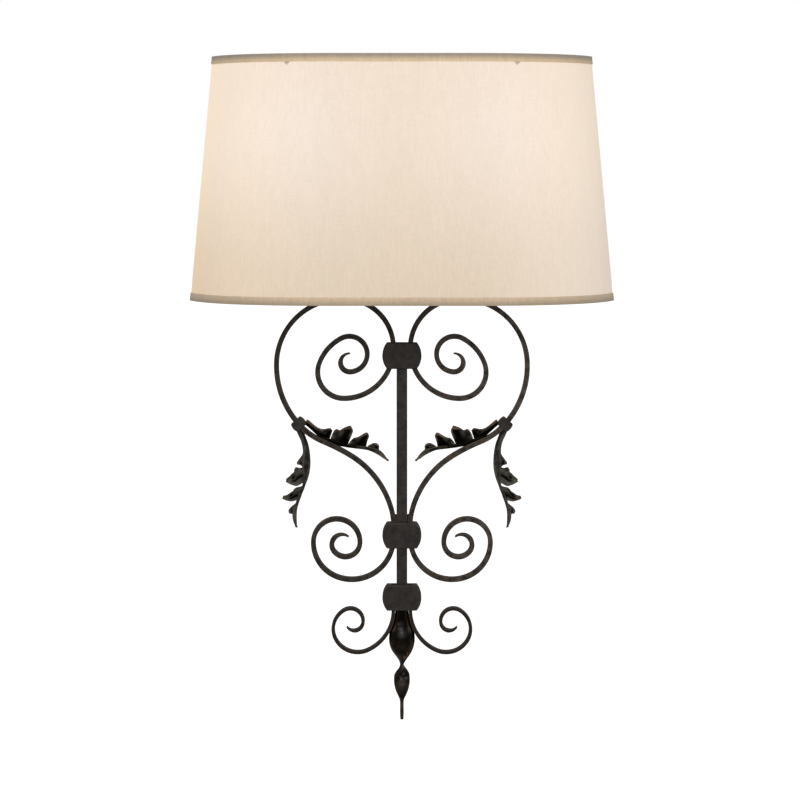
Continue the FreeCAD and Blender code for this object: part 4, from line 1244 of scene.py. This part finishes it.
@dataclass
class Drop(SubAssembly):
    """Twisted leaf drop: a lens section that turns half round at its neck.

    Attributes:
        top: Height of its head.
        length: From its head to its tip.
        width: What the widths and thicknesses of the sections are shares of.
        middle: Where its axis stands, towards the wall.
        around: Faces round it.
        rings: Rows of faces down it.
        sections: Place down the drop, width, thickness and quarter turns clockwise from above.
    """

    top: float = -349.3 * MM
    length: float = 106.5 * MM
    width: float = 25.0 * MM
    middle: float = -23.75 * MM
    around: int = 40
    rings: int = 72
    sections: tuple[tuple[float, float, float, float], ...] = (
        (0.0, 0.50, 0.20, 0.0), (0.06, 0.54, 0.18, 0.0), (0.12, 0.67, 0.20, 0.0),
        (0.18, 0.88, 0.42, 0.0), (0.24, 0.98, 0.49, 0.0), (0.29, 0.98, 0.50, 0.0),
        (0.33, 0.93, 0.45, 0.03), (0.37, 0.82, 0.36, 0.12), (0.41, 0.70, 0.25, 0.35),
        (0.44, 0.60, 0.20, 0.55), (0.47, 0.52, 0.17, 0.75), (0.50, 0.50, 0.15, 1.0),
        (0.53, 0.52, 0.16, 1.25), (0.56, 0.56, 0.19, 1.55), (0.59, 0.60, 0.24, 1.8),
        (0.62, 0.61, 0.35, 1.95), (0.66, 0.61, 0.39, 2.0), (0.70, 0.56, 0.38, 2.0),
        (0.74, 0.47, 0.33, 2.0), (0.78, 0.32, 0.25, 2.0), (0.82, 0.17, 0.16, 2.0),
        (0.86, 0.14, 0.14, 2.0), (0.94, 0.145, 0.14, 2.0), (1.0, 0.12, 0.12, 2.0))

    def ring(self, bm: bmesh.types.BMesh, section: Vector) -> list[bmesh.types.BMEdge]:
        """Add one lens-shaped ring.

        Args:
            bm: The drop being built.
            section: Place down, width, thickness and quarter turns.

        Returns:
            The ring's edges.
        """
        down, wide, thick, quarters = section
        half, deep = wide * self.width / 2, thick * self.width / 2
        hollow, rub = marks(bm)
        # Painted highlight: reflection is let through only in two small windows on the bellies, and painted
        # shade darkens the rest and takes its reflection away.
        highlight_window = max(hump(down, 0.222, 0.034), hump(down, 0.655, 0.030))
        # Painted highlight, in the rubbed tone, on the neck's twisted faces, with rubbed patches lower down
        # and a rubbed brown tail.
        neck = max(hump(down, 0.45, 0.04), hump(down, 0.54, 0.03))
        worn_and_lit = max(0.7 * neck, 0.25 * hump(down, 0.33, 0.05), 0.35 * hump(down, 0.70, 0.07))
        tail = 0.75 * ramp(down, 0.78, 0.84)
        made = bmesh.ops.create_circle(bm, cap_ends=False, radius=1.0, segments=self.around)
        turn = Matrix.Rotation(-quarters * math.pi / 2, 4, "Z")
        for vert in made["verts"]:
            angle = math.atan2(vert.co.y, vert.co.x)
            spot = turn @ Vector((half * math.cos(angle), deep * math.sin(angle), 0.0))
            vert.co = spot + Vector((0.0, self.middle, self.top - down * self.length))
            edge, face = abs(math.cos(angle)), abs(math.sin(angle))
            vert[hollow] = (0.9 - 0.08 * ramp(down, 0.48, 0.56)) * (1.0 - highlight_window * face ** 14)
            vert[rub] = max(edge ** 3 * (1.0 - 0.6 * highlight_window) * (1.0 - neck), worn_and_lit * face, tail)
        return list({e for v in made["verts"] for e in v.link_edges})

    def build(self) -> None:
        """Bridge the rings and close both ends."""
        bm = bmesh.new()
        rings = [self.ring(bm, flow(self.sections, k / self.rings)) for k in range(self.rings + 1)]
        for upper, lower in zip(rings, rings[1:]):
            bmesh.ops.bridge_loops(bm, edges=upper + lower)
        bmesh.ops.holes_fill(bm, edges=rings[0] + rings[-1], sides=0)
        bmesh.ops.recalc_face_normals(bm, faces=bm.faces)
        self.add_piece("drop_finial_cast", bm, Finishes.DROP, "drop_finial")


@dataclass
class HalfShade(SubAssembly):
    """Cloth panel with its lining, two folded bands and the wire frame.

    Attributes:
        band_round: Rounding of the bands' edges.
    """

    band_round: float = 0.32 * MM
    body: str = "shade"

    def build(self) -> None:
        """Dress the panel, the bands and the frame."""
        panel = merged_copy("shade_panel")
        piece = self.add_piece("shade_cloth", panel, Finishes.CLOTH, "shade_panel")
        piece.data.materials.append(Finishes.LINING.material())
        for face in piece.data.polygons:
            out = Vector((face.center.x, face.center.y, 0.0))
            inward = face.normal.dot(out) < 0 and abs(face.normal.z) < 0.5
            face.material_index = 1 if inward else 0
        mark_sharp_edges(piece, 30.0)
        for end, finish in (("top", Finishes.BAND_TOP), ("bottom", Finishes.BAND_FOOT)):
            node = "shade_trim_" + end
            band = self.add_piece(node + "_band", softened_copy(node, self.band_round, 2, 50.0),
                                  finish, node)
            mark_sharp_edges(band, 30.0)
        self.paint(Finishes.WIRE, "shade_ring_top", "shade_ring_bottom", "shade_uprights", "shade_spider")


@dataclass
class Lamp(SubAssembly):
    """One lamp: arm, cup, socket, contact and bulb.

    Attributes:
        side: Left or right lamp.
    """

    side: Side

    def build(self) -> None:
        """Dress the CAD pieces, with smooth copies of the glass and its cap."""
        tail = "_" + self.side.word
        self.body = "bulb" + tail
        self.paint(Finishes.MOUNT, "lamp_arm" + tail, "lamp_cup" + tail)
        self.paint(Finishes.PHENOLIC, "socket_body" + tail)
        self.paint(Finishes.BRASS, "screw_shell" + tail, "contact_tab" + tail)
        for node, finish in (("bulb_glass" + tail, Finishes.GLASS), ("bulb_cap" + tail, Finishes.CAP)):
            piece = self.add_piece(node + "_made", merged_copy(node), finish, node)
            mark_sharp_edges(piece, 25.0)


@dataclass
class WallMount(SubAssembly):
    """Plate, crossbar, fasteners and the post of the shade."""

    def build(self) -> None:
        """Dress the CAD pieces."""
        self.paint(Finishes.MOUNT, "wall_pan", "pan_cap_nuts", "shade_post", "post_nut", "lower_standoff",
                   "shade_finial_nut")
        self.paint(Finishes.ZINC, "crossbar", "box_screws", "pan_studs")
        self.paint(Finishes.BRASS, "ground_screw")
        self.paint(Finishes.PAD, "wall_bumper")


@dataclass
class Studio:
    """Camera at the photo's place, plain soft lamps, pale floor and white surroundings.

    Attributes:
        distance: How far the camera stands from the wall.
        camera_height: How high it stands over the sconce's origin.
        aside: How far it stands to the right.
        focal_pixels: Focal length in pixels of the picture.
        level_pixel: Row of the picture at the camera's own height.
        floor_height: Height of the floor.
        floor_tone: Colour of its paint.
        floor_glow: Own light that the camera sees on it.
        world_level: Strength of the grey light all round.
    """

    distance: float = 3.1
    camera_height: float = 0.080
    aside: float = -0.0018
    focal_pixels: float = 3246.0
    level_pixel: float = 158.0
    floor_height: float = -0.80
    floor_tone: Colour = tone(0.80, 0.80, 0.80)
    floor_glow: float = 0.85
    world_level: float = 0.34

    def camera(self) -> None:
        """Place the camera, tilted down by what the level line's height in the picture asks for."""
        data = bpy.data.cameras.new("camera")
        data.sensor_width = 36.0
        data.lens = self.focal_pixels * data.sensor_width / IMAGE_SIZE
        data.clip_end = 50.0
        item = bpy.data.objects.new("camera", data)
        tilt = math.atan((IMAGE_SIZE / 2 - self.level_pixel) / self.focal_pixels)
        item.location = (self.aside, -self.distance, self.camera_height)
        item.rotation_euler = (math.pi / 2 - tilt, 0.0, 0.0)
        bpy.context.scene.collection.objects.link(item)
        bpy.context.scene.camera = item

    def lamp(self, name: str, place: Sequence[float], aim: Sequence[float], size: float,
             watts: float) -> None:
        """Add one soft square white lamp.

        Args:
            name: Name of the lamp.
            place: Where it stands.
            aim: Where it points.
            size: Side of the square in metres.
            watts: Its power.
        """
        data = bpy.data.lights.new(name, "AREA")
        data.size = size
        data.energy = watts
        item = bpy.data.objects.new(name, data)
        item.location = place
        way = Vector(aim) - Vector(place)
        item.rotation_euler = way.to_track_quat("-Z", "Y").to_euler()
        bpy.context.scene.collection.objects.link(item)

    def surroundings(self) -> None:
        """White for the camera, also through the lamp glass, and a plain grey light for the rest."""
        world = bpy.data.worlds.new("surroundings")
        bpy.context.scene.world = world
        world.use_nodes = True
        bench = Bench(world.node_tree)
        light = bench.add("Background", {"Color": tone(1, 1, 1), "Strength": self.world_level})
        white = bench.add("Background", {"Color": tone(1, 1, 1), "Strength": 1.0})
        mixed = bench.add("MixShader", {0: bench.seen(), 1: light.outputs[0], 2: white.outputs[0]})
        bench.add("OutputWorld", {0: mixed.outputs[0]})

    def floor(self) -> None:
        """Pale floor well below the sconce, brightened to white only where the camera sees it."""
        bm = bmesh.new()
        bmesh.ops.create_grid(bm, x_segments=1, y_segments=1, size=20.0)
        bmesh.ops.translate(bm, verts=bm.verts, vec=(0.0, 0.0, self.floor_height))
        mesh = bpy.data.meshes.new("floor")
        bm.to_mesh(mesh)
        bm.free()
        item = bpy.data.objects.new("floor", mesh)
        bpy.context.scene.collection.objects.link(item)
        made = bpy.data.materials.new("floor paint")
        made.use_nodes = True
        bench = Bench(made.node_tree)
        matt = bench.add("BsdfDiffuse", {"Color": self.floor_tone})
        own = bench.add("Emission", {"Color": tone(1, 1, 1), "Strength": self.floor_glow})
        both = bench.add("AddShader", {0: matt.outputs[0], 1: own.outputs[0]})
        mixed = bench.add("MixShader", {0: bench.seen(), 1: matt.outputs[0], 2: both.outputs[0]})
        bench.add("OutputMaterial", {0: mixed.outputs[0]})
        mesh.materials.append(made)

    def build(self) -> None:
        """Set the whole studio up."""
        bpy.context.scene.view_settings.view_transform = "Standard"
        self.camera()
        self.surroundings()
        self.floor()
        aim = (0.0, -0.03, -0.12)
        self.lamp("front lamp", (-0.35, -2.6, 1.3), aim, 1.1, 26.5)
        self.lamp("low lamp", (-0.05, -2.9, 0.06), (0.0, -0.03, -0.40), 0.35, 3.2)
        self.lamp("right lamp", (1.7, -1.5, 0.6), aim, 1.4, 15.0)
        self.lamp("left lamp", (-2.0, -1.5, 0.7), aim, 1.4, 12.0)


def main() -> None:
    """Build the sconce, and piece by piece."""
    logging.basicConfig(level=logging.INFO, format="%(message)s")
    Studio().build()
    HalfShade().build()
    Bracket().build()
    for side in Side:
        Leaf(UPPER_LEAF, side).build()
        Leaf(LOWER_LEAF, side).build()
        Lamp(side).build()
    Drop().build()
    WallMount().build()


if __name__ == "__main__":
    main()
